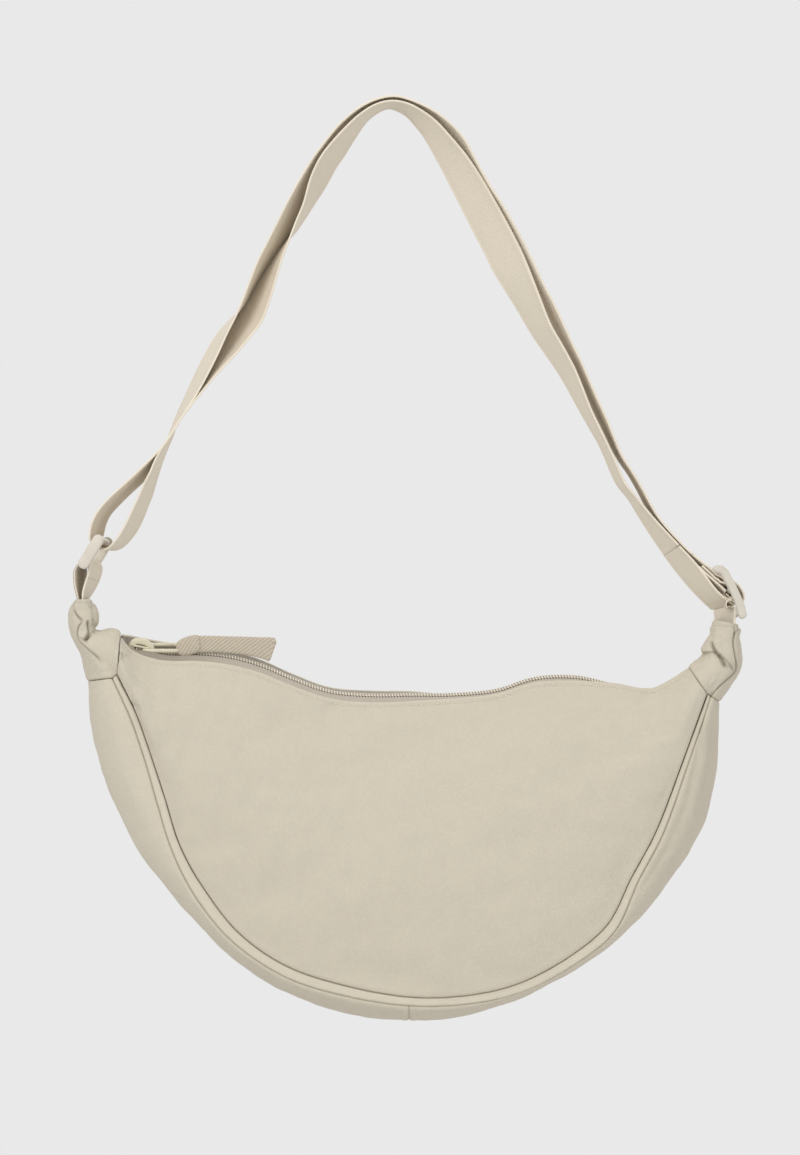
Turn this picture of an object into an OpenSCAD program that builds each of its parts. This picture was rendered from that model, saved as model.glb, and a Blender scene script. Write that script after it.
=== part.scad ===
// Half moon sling bag, hanging from its doubled webbing strap.
// The origin is the hang point: the middle of the strap's underside at its highest place.
// X runs to the wearer's right as seen from the front, -Y is the bag's front and +Z is up.

/* [Body] */
// Half of the body's width
bag_half = 200; // [150:1:260]
// Height of the body, from its lowest point to the tab seams
bag_h = 215; // [160:1:280]
// Distance between the front and back seam channels at the middle
seam_depth = 78; // [50:1:110]
// How far each panel bulges beyond its seam channel
dome = 9; // [2:1:16]
// Thickness of the padded shell fabric
fabric_t = 1.6; // [1:0.1:2.5]
// Thickness of the raised seam channel
channel_t = 2.4; // [1.6:0.1:3.2]
// Thickness of the lining
lining_t = 0.8; // [0.5:0.1:1.2]

/* [Zip] */
// Distance between the two sewn edges that face each other over the zip
zip_mouth = 20; // [18:1:26]
// Thickness of the zip tape
tape_t = 0.8; // [0.5:0.1:1.2]
// How far the tape reaches under the panel's edge
tape_under = 5; // [3:0.5:8]
// Width of one coil half
coil_w = 2.2; // [1.6:0.1:3]
// Height of the coil
coil_h = 2.4; // [1.8:0.1:3.2]
// Length of the slider body
slider_l = 13; // [10:0.5:16]
// Width of the slider body
slider_w = 9; // [8:0.2:11]
// Thickness of each slider plate
plate_t = 1.2; // [0.8:0.1:1.6]
// Diameter of the pull's wire
wire_d = 2.4; // [1.8:0.1:3]
// Length of the wire ring, from wire middle to wire middle
wire_l = 23; // [18:1:30]
// Width of the wire ring, from wire middle to wire middle
wire_w = 11.4; // [9:0.2:12]
// Length of the woven pull tab beyond its fold
pull_l = 62; // [40:1:75]
// Width of the woven pull tab at its end
pull_w = 15.5; // [10:0.5:18]
// Thickness of the doubled pull tab
pull_t = 2.6; // [2:0.1:4]

/* [Tabs] */
// Thickness of a tab's fabric
tab_t = 1.6; // [1:0.1:2]
// Free space beside the webbing in a tab's mouth
mouth_play = 2; // [0.6:0.2:6]

/* [Strap] */
// Drop from the hang point to the tab seams
strap_drop = 364; // [280:2:480]
// Sideways distance from the hang point to the body's middle
hang_x = 9; // [0:1:20]
// Width of the webbing
web_w = 30; // [24:1:34]
// Thickness of the webbing
web_t = 1.6; // [1:0.1:2]
// Free space between the two layers of the strap
layer_gap = 0.8; // [0.5:0.1:1.5]

/* [Ring and adjuster] */
// Diameter of the outer bars
bar_d = 5; // [4:0.2:6]
// Diameter of the adjuster's middle bar
mid_bar_d = 4; // [3:0.2:5]
// Height of a side rail
rail_h = 6.4; // [5:0.2:8]
// Thickness of a side rail
rail_t = 4.5; // [3:0.5:6]
// Distance between the ring's two bars
ring_pitch = 18.5; // [16:0.5:24]
// Distance between the adjuster's outer bars
slide_pitch = 31; // [28:0.5:36]
// Free space beside the webbing, between it and each rail
rail_play = 1; // [0.6:0.1:2]

/* [Hidden] */
// Clearance between pieces that lie on each other
lie = 0.45;
// Share of the body's run that is left open where two pieces are sewn end to end
seam_gap_share = 0.003;
// Rows and columns of the curved shells, and the places round a tab
rows = 34;
columns = 8;
tab_sides = 24;
// Step along a table, as a share of it, over which a surface's slope is taken
slope_share = 0.004;
// Depth of the body at its tab seams, as a share of the middle's
end_depth_share = 0.56;
// How fast the body swells from the tabs to the middle
swell_power = 0.7;

// Outlines seen from the front, from the left tab seam round to the right one.
// Each pair is a share of bag_half sideways from the middle and of bag_h up from the lowest point.
outline_shares = [
    [-0.998, 0.998], [-0.989, 0.878], [-0.962, 0.757], [-0.911, 0.631], [-0.829, 0.487], [-0.712, 0.351],
    [-0.560, 0.199], [-0.373, 0.084], [-0.184, 0.022], [0.019, 0.000], [0.209, 0.016], [0.392, 0.075],
    [0.573, 0.160], [0.731, 0.281], [0.854, 0.425], [0.949, 0.572], [0.991, 0.743], [1.001, 0.937]];
seam_out_shares = [
    [-0.919, 1.007], [-0.861, 0.890], [-0.813, 0.760], [-0.775, 0.637], [-0.728, 0.499], [-0.655, 0.366],
    [-0.538, 0.234], [-0.373, 0.131], [-0.184, 0.075], [0.019, 0.046], [0.206, 0.051], [0.380, 0.087],
    [0.541, 0.166], [0.668, 0.263], [0.744, 0.413], [0.823, 0.554], [0.896, 0.743], [0.973, 0.954]];
seam_in_shares = [
    [-0.903, 1.016], [-0.839, 0.896], [-0.791, 0.769], [-0.750, 0.651], [-0.703, 0.513], [-0.627, 0.387],
    [-0.516, 0.257], [-0.364, 0.160], [-0.177, 0.103], [0.019, 0.071], [0.199, 0.075], [0.364, 0.110],
    [0.522, 0.187], [0.646, 0.284], [0.722, 0.422], [0.801, 0.560], [0.880, 0.751], [0.962, 0.960]];
top_shares = [
    [-0.892, 1.131], [-0.861, 1.096], [-0.810, 1.072], [-0.737, 1.060], [-0.652, 1.059], [-0.554, 1.049],
    [-0.453, 1.025], [-0.345, 0.984], [-0.231, 0.949], [-0.104, 0.937], [0.028, 0.941], [0.165, 0.949],
    [0.297, 0.963], [0.418, 0.996], [0.544, 1.001], [0.665, 0.994], [0.788, 0.981], [0.902, 1.040]];
// How much higher the back panel's zip edge stands, as a share of bag_h
back_lift_shares = [0.006, 0.030, 0.040, 0.046, 0.044, 0.041, 0.038, 0.035, 0.032,
                    0.034, 0.028, 0.010, 0.008, 0.012, 0.014, 0.006, 0.004, 0.002];
// Where the coil lies between the front and back zip edges, from the left end to the right one
coil_rise_shares = [0, 0, 0.37, 0.3, 0.35, 0.4, 0.4, 0.4, 0.4, 0.4, 0.4, 0.4, 0.4, 0.4, 0.4, 0.4, 0.4, 0.4];
// Ends of the coil, of the stops beyond it and the slider's place at rest, as shares of the zip's run
coil_shares = [0.077, 0.972];
left_stop_shares = [0.024, 0.040];
right_stop_shares = [0.974, 0.982];
slider_share = 0.092;

// Tab rings from the body's seam to the mouth: the side away from the body, the side towards it,
// and the depth between the seam's and the mouth's as a share
tab_left_shares = [
    [[-0.998, 0.998], [-0.892, 1.131], 1.0], [[-1.003, 1.037], [-0.927, 1.143], 0.8],
    [[-1.019, 1.078], [-0.962, 1.149], 0.55], [[-1.044, 1.128], [-0.970, 1.166], 0.35],
    [[-1.059, 1.178], [-0.968, 1.199], 0.2], [[-1.053, 1.216], [-0.981, 1.219], 0.08],
    [[-1.035, 1.237], [-0.994, 1.240], 0.0]];
tab_right_shares = [
    [[1.001, 0.937], [0.902, 1.040], 1.0], [[1.040, 0.982], [0.922, 1.063], 0.8],
    [[1.070, 1.034], [0.949, 1.087], 0.55], [[1.073, 1.076], [0.952, 1.110], 0.35],
    [[1.071, 1.112], [0.972, 1.135], 0.2], [[1.067, 1.140], [0.981, 1.163], 0.08],
    [[1.054, 1.158], [0.984, 1.181], 0.0]];

// The strap's middle line from the left ring over the top to the right adjuster.
// Each row is the place, as a share of bag_half sideways and of strap_drop down, and the share of the
// webbing's width that it turns towards the front.
strap_shares = [
    [[-0.752, 0.588], 0.10], [[-0.674, 0.518], 0.28], [[-0.590, 0.448], 0.48], [[-0.506, 0.379], 0.54],
    [[-0.448, 0.309], 0.44], [[-0.395, 0.240], 0.34], [[-0.323, 0.170], 0.42], [[-0.247, 0.101], 0.42],
    [[-0.168, 0.041], 0.30], [[-0.095, 0.008], 0.12], [[-0.040, 0.000], 0.06], [[0.015, 0.008], 0.14],
    [[0.095, 0.043], 0.45], [[0.158, 0.086], 0.60], [[0.240, 0.162], 0.72], [[0.310, 0.235], 0.80],
    [[0.377, 0.308], 0.70], [[0.443, 0.379], 0.58], [[0.514, 0.449], 0.46], [[0.582, 0.519], 0.34],
    [[0.647, 0.588], 0.28], [[0.715, 0.658], 0.30], [[0.794, 0.728], 0.26], [[0.889, 0.790], 0.10]];
// The two layers beside the left ring, from the strap's middle line down to the ring
left_outer_shares = [
    [[-0.816, 0.632], 0.20], [[-0.873, 0.662], 0.25], [[-0.926, 0.700], 0.25], [[-0.960, 0.741], 0.12]];
left_inner_shares = [
    [[-0.786, 0.649], 0.15], [[-0.811, 0.688], 0.20], [[-0.842, 0.730], 0.20], [[-0.876, 0.764], 0.12]];

// Ring and adjuster: the middle of the ring's top bar and of the adjuster's middle bar,
// how far each leans from upright, and how far each turns so that its front end faces away from the loop
ring_shares = [-0.9465, 0.773];
ring_lean_angle = 41;
ring_turn_angle = -12;
slide_shares = [1.002, 0.843];
slide_lean_angle = -30;
slide_turn_angle = 20;
// The strap's tail from below the adjuster through the mouth of the right tab
tail_shares = [[[1.019, 0.910], 0.16], [[1.016, 0.924], 0.08], [[1.014, 0.938], 0.06]];
// The two legs of the left tab's loop, from the ring's lower bar down through the mouth
loop_left_shares = [[[-1.032, 0.828], -0.20], [[-1.026, 0.845], -0.15], [[-1.019, 0.861], -0.03],
                    [[-1.019, 0.885], -0.02]];
loop_right_shares = [[[-0.994, 0.828], 0.25], [[-0.998, 0.845], 0.20], [[-1.009, 0.861], 0.03],
                     [[-1.009, 0.885], 0.02]];

bag_z = -strap_drop - bag_h;
edge_y = zip_mouth / 2;
stack_half = web_t + layer_gap / 2;
rail_y = web_w / 2 + rail_play;
mouth_depth = web_w + 2 * tab_t + mouth_play;

function lerp(a, b, t) = a + (b - a) * t;
function unit(v) = v / norm(v);
function pick(tab, i) = tab[max(0, min(len(tab) - 1, i))];
function curve(a, b, c, d, t) =
    0.5 * (2 * b + (c - a) * t + (2 * a - 5 * b + 4 * c - d) * t * t + (3 * b - a - 3 * c + d) * t * t * t);
// The value of an evenly spaced table at a share of its run
function at(tab, s) =
    let (f = s * (len(tab) - 1), i = max(0, min(len(tab) - 2, floor(f))))
    curve(pick(tab, i - 1), pick(tab, i), pick(tab, i + 1), pick(tab, i + 2), f - i);

function bag_pt(share, y) = [hang_x + share[0] * bag_half, y, bag_z + share[1] * bag_h];
function strap_pt(share) = [hang_x + share[0] * bag_half, 0, stack_half - share[1] * strap_drop];

// Surfaces of the body: side is -1 for the front and 1 for the back
function swell(s) = end_depth_share + (1 - end_depth_share) * pow(max(0, sin(180 * s)), swell_power);
function seam_y(s) = seam_depth / 2 * swell(s);
function lift(s) = [0, at(back_lift_shares, s)];
function coil_pt(s) = bag_pt(at(top_shares, s) + lift(s) * at(coil_rise_shares, s), 0);
function panel_pt(side, s, v) =
    let (top = at(top_shares, s) + (side > 0 ? lift(s) : [0, 0]),
         low = at(seam_in_shares, s),
         y = lerp(edge_y, seam_y(s), sin(90 * v)) + dome * swell(s) * sin(180 * v))
    bag_pt(lerp(top, low, v), side * y);
function channel_pt(side, s, v) =
    bag_pt(lerp(at(seam_in_shares, s), at(seam_out_shares, s), v), side * seam_y(s));
function gusset_pt(s, a) =
    let (c = at(seam_out_shares, s), o = at(outline_shares, s))
    bag_pt(lerp(c, o, sin(180 * a)), -seam_y(s) * cos(180 * a));
// From the zip edge down one panel, over its seam channel and half round the gusset
panel_part = 0.5;
channel_part = 0.1;
gusset_part = 1 - panel_part - channel_part;
function half_pt(side, s, q) =
    q < panel_part ? panel_pt(side, s, q / panel_part) :
    q < 1 - gusset_part ? channel_pt(side, s, (q - panel_part) / channel_part) :
    let (a = (q - 1 + gusset_part) / gusset_part / 2) gusset_pt(s, side < 0 ? a : 1 - a);

// The direction into the body at a place on a surface; turn is 1 or -1
function inward(f, turn, s, v) =
    let (e = slope_share,
         ds = f(min(1, s + e), v) - f(max(0, s - e), v),
         dv = f(s, min(1, v + e)) - f(s, max(0, v - e)))
    turn * unit(cross(ds, dv));
// Points of a surface, moved inwards by depth, over a stretch of s and of v
function sheet(f, turn, s, v, n, m, depth) =
    [for (i = [0:n]) [for (j = [0:m])
        let (a = lerp(s[0], s[1], i / n), b = lerp(v[0], v[1], j / m))
        f(a, b) + depth * inward(f, turn, a, b)]];

// Two triangles between four points
function quad(a, b, c, d) = [[a, b, c], [a, c, d]];
function flip(faces, yes) = yes ? [for (f = faces) [f[2], f[1], f[0]]] : faces;

// A closed solid between two grids of points
module slab(top, bottom, turned = false) {
    n = len(top);
    m = len(top[0]);
    o = n * m;
    faces = concat(
        [for (i = [0:n - 2], j = [0:m - 2])
            each quad(i * m + j, i * m + j + 1, (i + 1) * m + j + 1, (i + 1) * m + j)],
        [for (i = [0:n - 2], j = [0:m - 2])
            each quad(o + i * m + j, o + (i + 1) * m + j, o + (i + 1) * m + j + 1, o + i * m + j + 1)],
        [for (i = [0:n - 2]) each quad(i * m, (i + 1) * m, o + (i + 1) * m, o + i * m)],
        [for (i = [0:n - 2]) each quad(i * m + m - 1, o + i * m + m - 1, o + (i + 1) * m + m - 1,
                                       (i + 1) * m + m - 1)],
        [for (j = [0:m - 2]) each quad(j, o + j, o + j + 1, j + 1)],
        [for (j = [0:m - 2]) each quad((n - 1) * m + j, (n - 1) * m + j + 1, o + (n - 1) * m + j + 1,
                                       o + (n - 1) * m + j)]);
    polyhedron([for (r = top) each r, for (r = bottom) each r], flip(faces, turned));
}

// A tube with a wall, between outer and inner rings of points
module tube(outer, inner, turned = false) {
    n = len(outer);
    m = len(outer[0]);
    o = n * m;
    faces = concat(
        [for (i = [0:n - 2], j = [0:m - 1]) let (k = (j + 1) % m)
            each quad(i * m + j, i * m + k, (i + 1) * m + k, (i + 1) * m + j)],
        [for (i = [0:n - 2], j = [0:m - 1]) let (k = (j + 1) % m)
            each quad(o + i * m + j, o + (i + 1) * m + j, o + (i + 1) * m + k, o + i * m + k)],
        [for (j = [0:m - 1]) let (k = (j + 1) % m) each quad(j, o + j, o + k, k)],
        [for (j = [0:m - 1]) let (k = (j + 1) % m)
            each quad((n - 1) * m + j, (n - 1) * m + k, o + (n - 1) * m + k, o + (n - 1) * m + j)]);
    polyhedron([for (r = outer) each r, for (r = inner) each r], flip(faces, turned));
}

// A solid through rings of points that all have as many points, closed at both ends
module sweep(rings, turned = false) {
    n = len(rings);
    m = len(rings[0]);
    faces = concat(
        [for (i = [0:n - 2], j = [0:m - 1]) let (k = (j + 1) % m)
            each quad(i * m + j, i * m + k, (i + 1) * m + k, (i + 1) * m + j)],
        [for (j = [1:m - 2]) [0, j + 1, j]],
        [for (j = [1:m - 2]) [(n - 1) * m, (n - 1) * m + j, (n - 1) * m + j + 1]]);
    polyhedron([for (r = rings) each r], flip(faces, turned));
}

// The cross-section of a webbing at a place, given its run's direction and its turn to the front.
// off moves it outwards along its own thickness.
function web_ring(p, dir, tilt, off, w = web_w, t = web_t) =
    let (out = [-dir[2], 0, dir[0]],
         flat = sqrt(1 - tilt * tilt),
         wide = tilt * out + flat * [0, -1, 0],
         thick = flat * out + tilt * [0, 1, 0],
         c = p + off * thick)
    [c + wide * w / 2 + thick * t / 2, c - wide * w / 2 + thick * t / 2,
     c - wide * w / 2 - thick * t / 2, c + wide * w / 2 - thick * t / 2];
// Cross-sections along a list of [place, turn, offset] rows
function web_rings(path, w = web_w, t = web_t) =
    [for (i = [0:len(path) - 1])
        let (p = path[i])
        web_ring(p[0], unit(pick(path, i + 1)[0] - pick(path, i - 1)[0]), p[1], p[2], w, t)];

shell_gap = [seam_gap_share, 1 - seam_gap_share];
panel_front = function(s, v) panel_pt(-1, s, v);
panel_back = function(s, v) panel_pt(1, s, v);
channel_front = function(s, v) channel_pt(-1, s, v);
channel_back = function(s, v) channel_pt(1, s, v);
half_front = function(s, v) half_pt(-1, s, v);
half_back = function(s, v) half_pt(1, s, v);

// A piece of shell fabric between two depths under a surface
module cloth(f, turn, s, v, n, m, depths) {
    slab(sheet(f, turn, s, v, n, m, depths[0]), sheet(f, turn, s, v, n, m, depths[1]), turn > 0);
}

// How much of the way across each surface its piece reaches, short of the piece beside it
panel_span = [0, 0.99];
channel_span = [0, 0.92];
channel_depths = [fabric_t - channel_t, fabric_t];
module front_panel() {
    color("tan") cloth(panel_front, 1, shell_gap, panel_span, rows, columns, [0, fabric_t]);
}
module back_panel() {
    color("tan") cloth(panel_back, -1, shell_gap, panel_span, rows, columns, [0, fabric_t]);
}
module front_seam() {
    color("burlywood") cloth(channel_front, 1, shell_gap, channel_span, rows, 1, channel_depths);
}
module back_seam() {
    color("burlywood") cloth(channel_back, -1, shell_gap, channel_span, rows, 1, channel_depths);
}
gusset = function(s, a) gusset_pt(s, a);
// The row at which the two halves of the gusset are joined, at the bottom of the body
bottom_row = 18;
function row_share(i) = lerp(shell_gap[0], shell_gap[1], i / rows);
gusset_span = [0.01, 0.99];
module gusset_left() {
    color("wheat")
        cloth(gusset, 1, [row_share(0), row_share(bottom_row) - seam_gap_share / 4], gusset_span,
              bottom_row, columns, [0, fabric_t]);
}
module gusset_right() {
    color("wheat")
        cloth(gusset, 1, [row_share(bottom_row) + seam_gap_share / 4, row_share(rows)], gusset_span,
              rows - bottom_row, columns, [0, fabric_t]);
}
lining_run = [0.04, 0.96];
lining_span = [0.05, 0.995];
lining_depth = fabric_t + tape_t + 2 * lie;
lining_depths = [lining_depth, lining_depth + lining_t];
module lining(f, turn) color("gray") cloth(f, turn, lining_run, lining_span, rows, columns, lining_depths);
module lining_front() lining(half_front, 1);
module lining_back() lining(half_back, -1);

// Zip tape: from under the panel's edge to the coil, with a slit between the halves for the slider's post
tape_slit = 1.8;
function tape_row(side, s) =
    let (f = side < 0 ? panel_front : panel_back,
         turn = -side,
         v = tape_under / norm(f(s, 1) - f(s, 0)),
         in_a = inward(f, turn, s, v), in_b = inward(f, turn, s, 0),
         a = f(s, v) + in_a * (fabric_t + lie), b = f(s, 0) + in_b * (fabric_t + lie),
         shelf = coil_pt(s) + [0, side * (slider_w / 2 + lie), 0],
         c = coil_pt(s) + [0, side * tape_slit / 2, 0])
    [[a, b, shelf, c], [a + in_a * tape_t, b + unit(in_b + [0, 0, -1]) * tape_t, shelf - [0, 0, tape_t],
                        c - [0, 0, tape_t]]];
tape_ends = [0.012, 0.988];
// Places along the zip between two ends, in step with the panels' rows
function zip_steps(ends) =
    concat([ends[0]], [for (i = [0:rows]) if (row_share(i) > ends[0] && row_share(i) < ends[1]) row_share(i)],
           [ends[1]]);
module zip_tape(side) {
    both = [for (s = zip_steps(tape_ends)) tape_row(side, s)];
    slab([for (r = both) r[0]], [for (r = both) r[1]], side > 0);
}
module zip_tape_front() color("rosybrown") zip_tape(-1);
module zip_tape_back() color("rosybrown") zip_tape(1);

// One half of the closed coil, on top of the tapes
coil_section_shares = [[0, 0.2], [0.3, 0], [1, 0.15], [1, 0.7], [0.6, 1], [0, 0.85]];
function coil_ring(side, s) =
    [for (p = coil_section_shares)
        coil_pt(s) + [0, side * (lie / 4 + p[0] * coil_w), lie / 2 + p[1] * coil_h]];
module zip_coil(side) {
    sweep([for (s = zip_steps(coil_shares)) coil_ring(side, s)], side > 0);
}
module zip_coil_front() color("dimgray") zip_coil(-1);
module zip_coil_back() color("dimgray") zip_coil(1);

// Stops: one beside each coil at the left, and one across both at the right
stop_w = 3;
module zip_stops() {
    color("silver") {
        for (side = [-1, 1])
            sweep([for (s = left_stop_shares) [for (p = [[0, 0], [1, 0], [1, 1], [0, 1]])
                coil_pt(s) + [0, side * (tape_slit / 2 + p[0] * stop_w), lie / 2 + p[1] * coil_h]]],
                  side > 0);
        sweep([for (s = right_stop_shares) [for (p = [[-1, 0], [1, 0], [1, 1], [-1, 1]])
            coil_pt(s) + [0, p[0] * stop_w, lie / 2 + p[1] * coil_h]]], true);
    }
}

// The slider's own frame: its middle on top of the tapes, X along the zip
slider_at = coil_pt(slider_share);
slider_reach_share = 0.03;
slider_dir = unit(coil_pt(slider_share + slider_reach_share) - coil_pt(slider_share - slider_reach_share));
slider_turn = atan2(-slider_dir[2], slider_dir[0]);
module at_slider() translate(slider_at) rotate([0, slider_turn, 0]) children();
play = 0.8;
plate_low = -tape_t - play;
plate_high = coil_h + play;
lip_t = 0.9;
bridge_w = 2.6;
bridge_h = 5.8;
bridge_l = 10.6;
bridge_t = 1.5;
nose_share = 0.24;
lip_share = 0.7;
lip_low_share = 0.55;
post_w = 1.2;
post_l = 2.6;
// Middle of the wire where it passes under the bridge
wire_z = plate_high + plate_t + wire_d / 2 + lie;
module plate(z) {
    nose = slider_w * nose_share;
    translate([0, 0, z]) linear_extrude(plate_t)
        polygon([[-slider_l / 2, -nose], [-slider_l / 3, -slider_w / 2],
                 [slider_l / 2, -slider_w / 2 + lip_t],
                 [slider_l / 2, slider_w / 2 - lip_t], [-slider_l / 3, slider_w / 2], [-slider_l / 2, nose]]);
}
module lip(side, z, h) {
    translate([-slider_l / 4, side * (slider_w / 2 - lip_t), z])
        translate([0, -lip_t / 2, 0]) cube([slider_l * lip_share, lip_t, h]);
}
// Outline of the bridge: how far in its slopes reach and how high its upright ends are, as shares
slope_in_share = 0.2;
upright_share = 0.55;
module arch(l, h) {
    polygon([[0, 0], [0, h * upright_share], [l * slope_in_share, h], [l * (1 - slope_in_share), h],
             [l, h * upright_share], [l, 0]]);
}
module zip_slider() {
    color("cornsilk") at_slider() {
        plate(plate_low - plate_t);
        plate(plate_high);
        for (side = [-1, 1]) {
            lip(side, plate_low - lie / 2, play / 2);
            lip(side, coil_h * lip_low_share, plate_high - coil_h * lip_low_share + lie / 2);
        }
        translate([-slider_l / 2 + lip_t, -post_w / 2, plate_low - lie / 2])
            cube([post_l, post_w, plate_high - plate_low + lie]);
        difference() {
            translate([-bridge_l / 2, bridge_w / 2, plate_high + plate_t - lie / 2]) rotate([90, 0, 0])
                linear_extrude(bridge_w) arch(bridge_l, bridge_h);
            translate([bridge_t - bridge_l / 2, bridge_w, plate_high + plate_t]) rotate([90, 0, 0])
                linear_extrude(2 * bridge_w) arch(bridge_l - 2 * bridge_t, bridge_h - bridge_t);
        }
    }
}

// Wire ring: its near bar turns under the bridge, its far bar carries the pull tab
ring_dip = 9.5;
wire_at = slider_at + wire_z * [sin(slider_turn), 0, cos(slider_turn)];
module at_wire() translate(wire_at) rotate([0, ring_dip, 0]) children();
module wire_bar(l) rotate([90, 0, 0]) cylinder(d = wire_d, h = l, center = true, $fn = 24);
module pull_ring() {
    color("cornsilk") at_wire() {
        for (x = [0, wire_l]) translate([x, 0, 0]) wire_bar(wire_w);
        for (side = [-1, 1]) translate([0, side * wire_w / 2, 0]) {
            rotate([0, 90, 0]) cylinder(d = wire_d, h = wire_l, $fn = 24);
            for (x = [0, wire_l]) translate([x, 0, 0]) sphere(d = wire_d, $fn = 24);
        }
    }
}

// Pull tab: a fold round the far bar, then the doubled webbing, which turns to face the front
fold_w = wire_w - wire_d - 4 * lie;
fold_play = 0.05;
fold_r = wire_d / 2 + fold_play;
pull_twist_l = 16;
pull_steps = 16;
pull_rise = 2.2;
pull_sag = 2.9;
function pull_row(x) =
    let (g = min(1, x / pull_twist_l), turn = 90 * g * g * (3 - 2 * g), w = lerp(fold_w, pull_w, x / pull_l),
         wide = [0, cos(turn), sin(turn)], thick = [0, -sin(turn), cos(turn)],
         c = [x, -(coil_w + lie + pull_t / 2) * g, pull_rise * g - pull_sag * pow(x / pull_l, 2)])
    [c - wide * w / 2 - thick * pull_t / 2, c + wide * w / 2 - thick * pull_t / 2,
     c + wide * w / 2 + thick * pull_t / 2, c - wide * w / 2 + thick * pull_t / 2];
module pull_tab() {
    color("tan") at_wire() translate([wire_l, 0, 0]) {
        difference() {
            rotate([90, 0, 0]) cylinder(r = fold_r + pull_t / 2, h = fold_w, center = true, $fn = 32);
            rotate([90, 0, 0]) cylinder(r = fold_r, h = 2 * fold_w, center = true, $fn = 32);
        }
        rotate([0, -ring_dip, 0])
            sweep([for (i = [0:pull_steps])
                pull_row(lerp(fold_r + pull_t / 4, pull_l, i / pull_steps))], true);
    }
}

// End tabs: gathered fabric tubes from the body's end to the mouth
tab_depth = seam_depth / 2 * end_depth_share;
// The body's end seen as a ring: 0 is over the zip, a quarter the front and a half the outer side
end_zip_part = 0.06;
end_panel_part = 0.24;
end_gusset_part = 1 - 2 * (end_zip_part + end_panel_part);
function end_ring(end, q) =
    let (h = q < 0.5 ? q : 1 - q, side = q < 0.5 ? -1 : 1)
    h < end_zip_part ? lerp(coil_pt(end), panel_pt(side, end, 0), h / end_zip_part) :
    h < end_zip_part + end_panel_part ? panel_pt(side, end, (h - end_zip_part) / end_panel_part) :
    let (a = (h - end_zip_part - end_panel_part) / end_gusset_part) gusset_pt(end, side < 0 ? a : 1 - a);
// A tab's ring beyond the body: an oval that gets squarer towards the mouth
function squared(x, mix) = lerp(x, sign(x) * sqrt(abs(x)), mix);
function oval(row, q) =
    let (d = lerp(mouth_depth / 2, tab_depth, row[2]), m = (row[0] + row[1]) / 2, h = (row[1] - row[0]) / 2)
    bag_pt(m + h * squared(cos(360 * q), 1 - row[2]), -d * squared(sin(360 * q), 1 - row[2]));
function tab_ring(tab, end, k) =
    let (f = k * (len(tab) - 1), g = min(1, f / 2), mix = g * g * (3 - 2 * g), row = at(tab, k))
    [for (j = [0:tab_sides - 1]) let (q = j / tab_sides)
        lerp(end_ring(end, q) + (bag_pt((row[0] + row[1]) / 2, 0) - bag_pt((tab[0][0] + tab[0][1]) / 2, 0)),
             oval(row, q), mix)];
// A ring drawn in towards its middle by a wall
wall_share_max = 0.45;
function drawn_in(ring, t) =
    let (m = [for (p = ring) 1] * ring / len(ring))
    [for (p = ring) let (d = norm(p - m)) p + (m - p) / d * min(t, d * wall_share_max)];
tab_start = 0.03;
tab_steps = 12;
module end_tab(tab, end, turned) {
    rings = [for (i = [0:tab_steps]) tab_ring(tab, end, lerp(tab_start, 1, i / tab_steps))];
    tube(rings, [for (r = rings) drawn_in(r, tab_t)], turned);
}
module end_tab_left() color("tan") end_tab(tab_left_shares, 0, false);
module end_tab_right() color("tan") end_tab(tab_right_shares, 1, true);

// Rails and bars of the ring and the adjuster. In their own frames Z runs up along the rails and Y along
// the bars.
module at_bar(share, lean, turn) {
    translate(strap_pt(share)) rotate([0, lean, 0]) rotate([0, 0, turn]) children();
}
module rails(low, high) {
    for (side = [-1, 1]) translate([0, side * (rail_y + rail_t / 2), 0]) {
        for (z = [low, high]) translate([0, 0, z]) rotate([90, 0, 0])
            cylinder(d = rail_h, h = rail_t, center = true, $fn = 32);
        translate([-rail_h / 2, -rail_t / 2, low]) cube([rail_h, rail_t, high - low]);
    }
}
module bar(z, d) {
    translate([0, 0, z]) rotate([90, 0, 0]) cylinder(d = d, h = 2 * rail_y + rail_t, center = true, $fn = 32);
}
module strap_ring() {
    color("wheat") at_bar(ring_shares, ring_lean_angle, ring_turn_angle) {
        rails(-ring_pitch, 0);
        bar(0, bar_d);
        bar(-ring_pitch, bar_d);
    }
}
module slide_adjuster() {
    color("wheat") at_bar(slide_shares, slide_lean_angle, slide_turn_angle) {
        rails(-slide_pitch / 2, slide_pitch / 2);
        bar(slide_pitch / 2, bar_d);
        bar(0, mid_bar_d);
        bar(-slide_pitch / 2, bar_d);
    }
}

// The same frames as points: the middle, then the directions of X, Y and Z
function frame(share, lean, turn) =
    let (x = [cos(lean), 0, -sin(lean)], y = [0, 1, 0], z = [sin(lean), 0, cos(lean)])
    [strap_pt(share), cos(turn) * x + sin(turn) * y, cos(turn) * y - sin(turn) * x, z];
ring_frame = frame(ring_shares, ring_lean_angle, ring_turn_angle);
slide_frame = frame(slide_shares, slide_lean_angle, slide_turn_angle);
// Webbing cross-sections along a flat path of [x, z] places in such a frame
function frame_rings(f, path) =
    [for (i = [0:len(path) - 1])
        let (d = unit(pick(path, i + 1) - pick(path, i - 1)),
             c = f[0] + path[i][0] * f[1] + path[i][1] * f[3],
             thick = (f[3] * d[0] - f[1] * d[1]) * web_t / 2,
             wide = -f[2] * web_w / 2)
        [c + wide + thick, c - wide + thick, c - wide - thick, c + wide - thick]];
function bend(c, r, ends, n) =
    [for (i = [0:n]) let (g = lerp(ends[0], ends[1], i / n)) c + r * [cos(g), sin(g)]];
// Angles between which the webbing lies on the ring's top bar, on its lower bar and on the middle bar,
// and into how many steps each is cut
ring_bend_angles = [202, 343];
loop_bend_angles = [45, 215];
sewn_bend_angles = [100, -60];
bend_steps = 8;
part_steps = 4;

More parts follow.
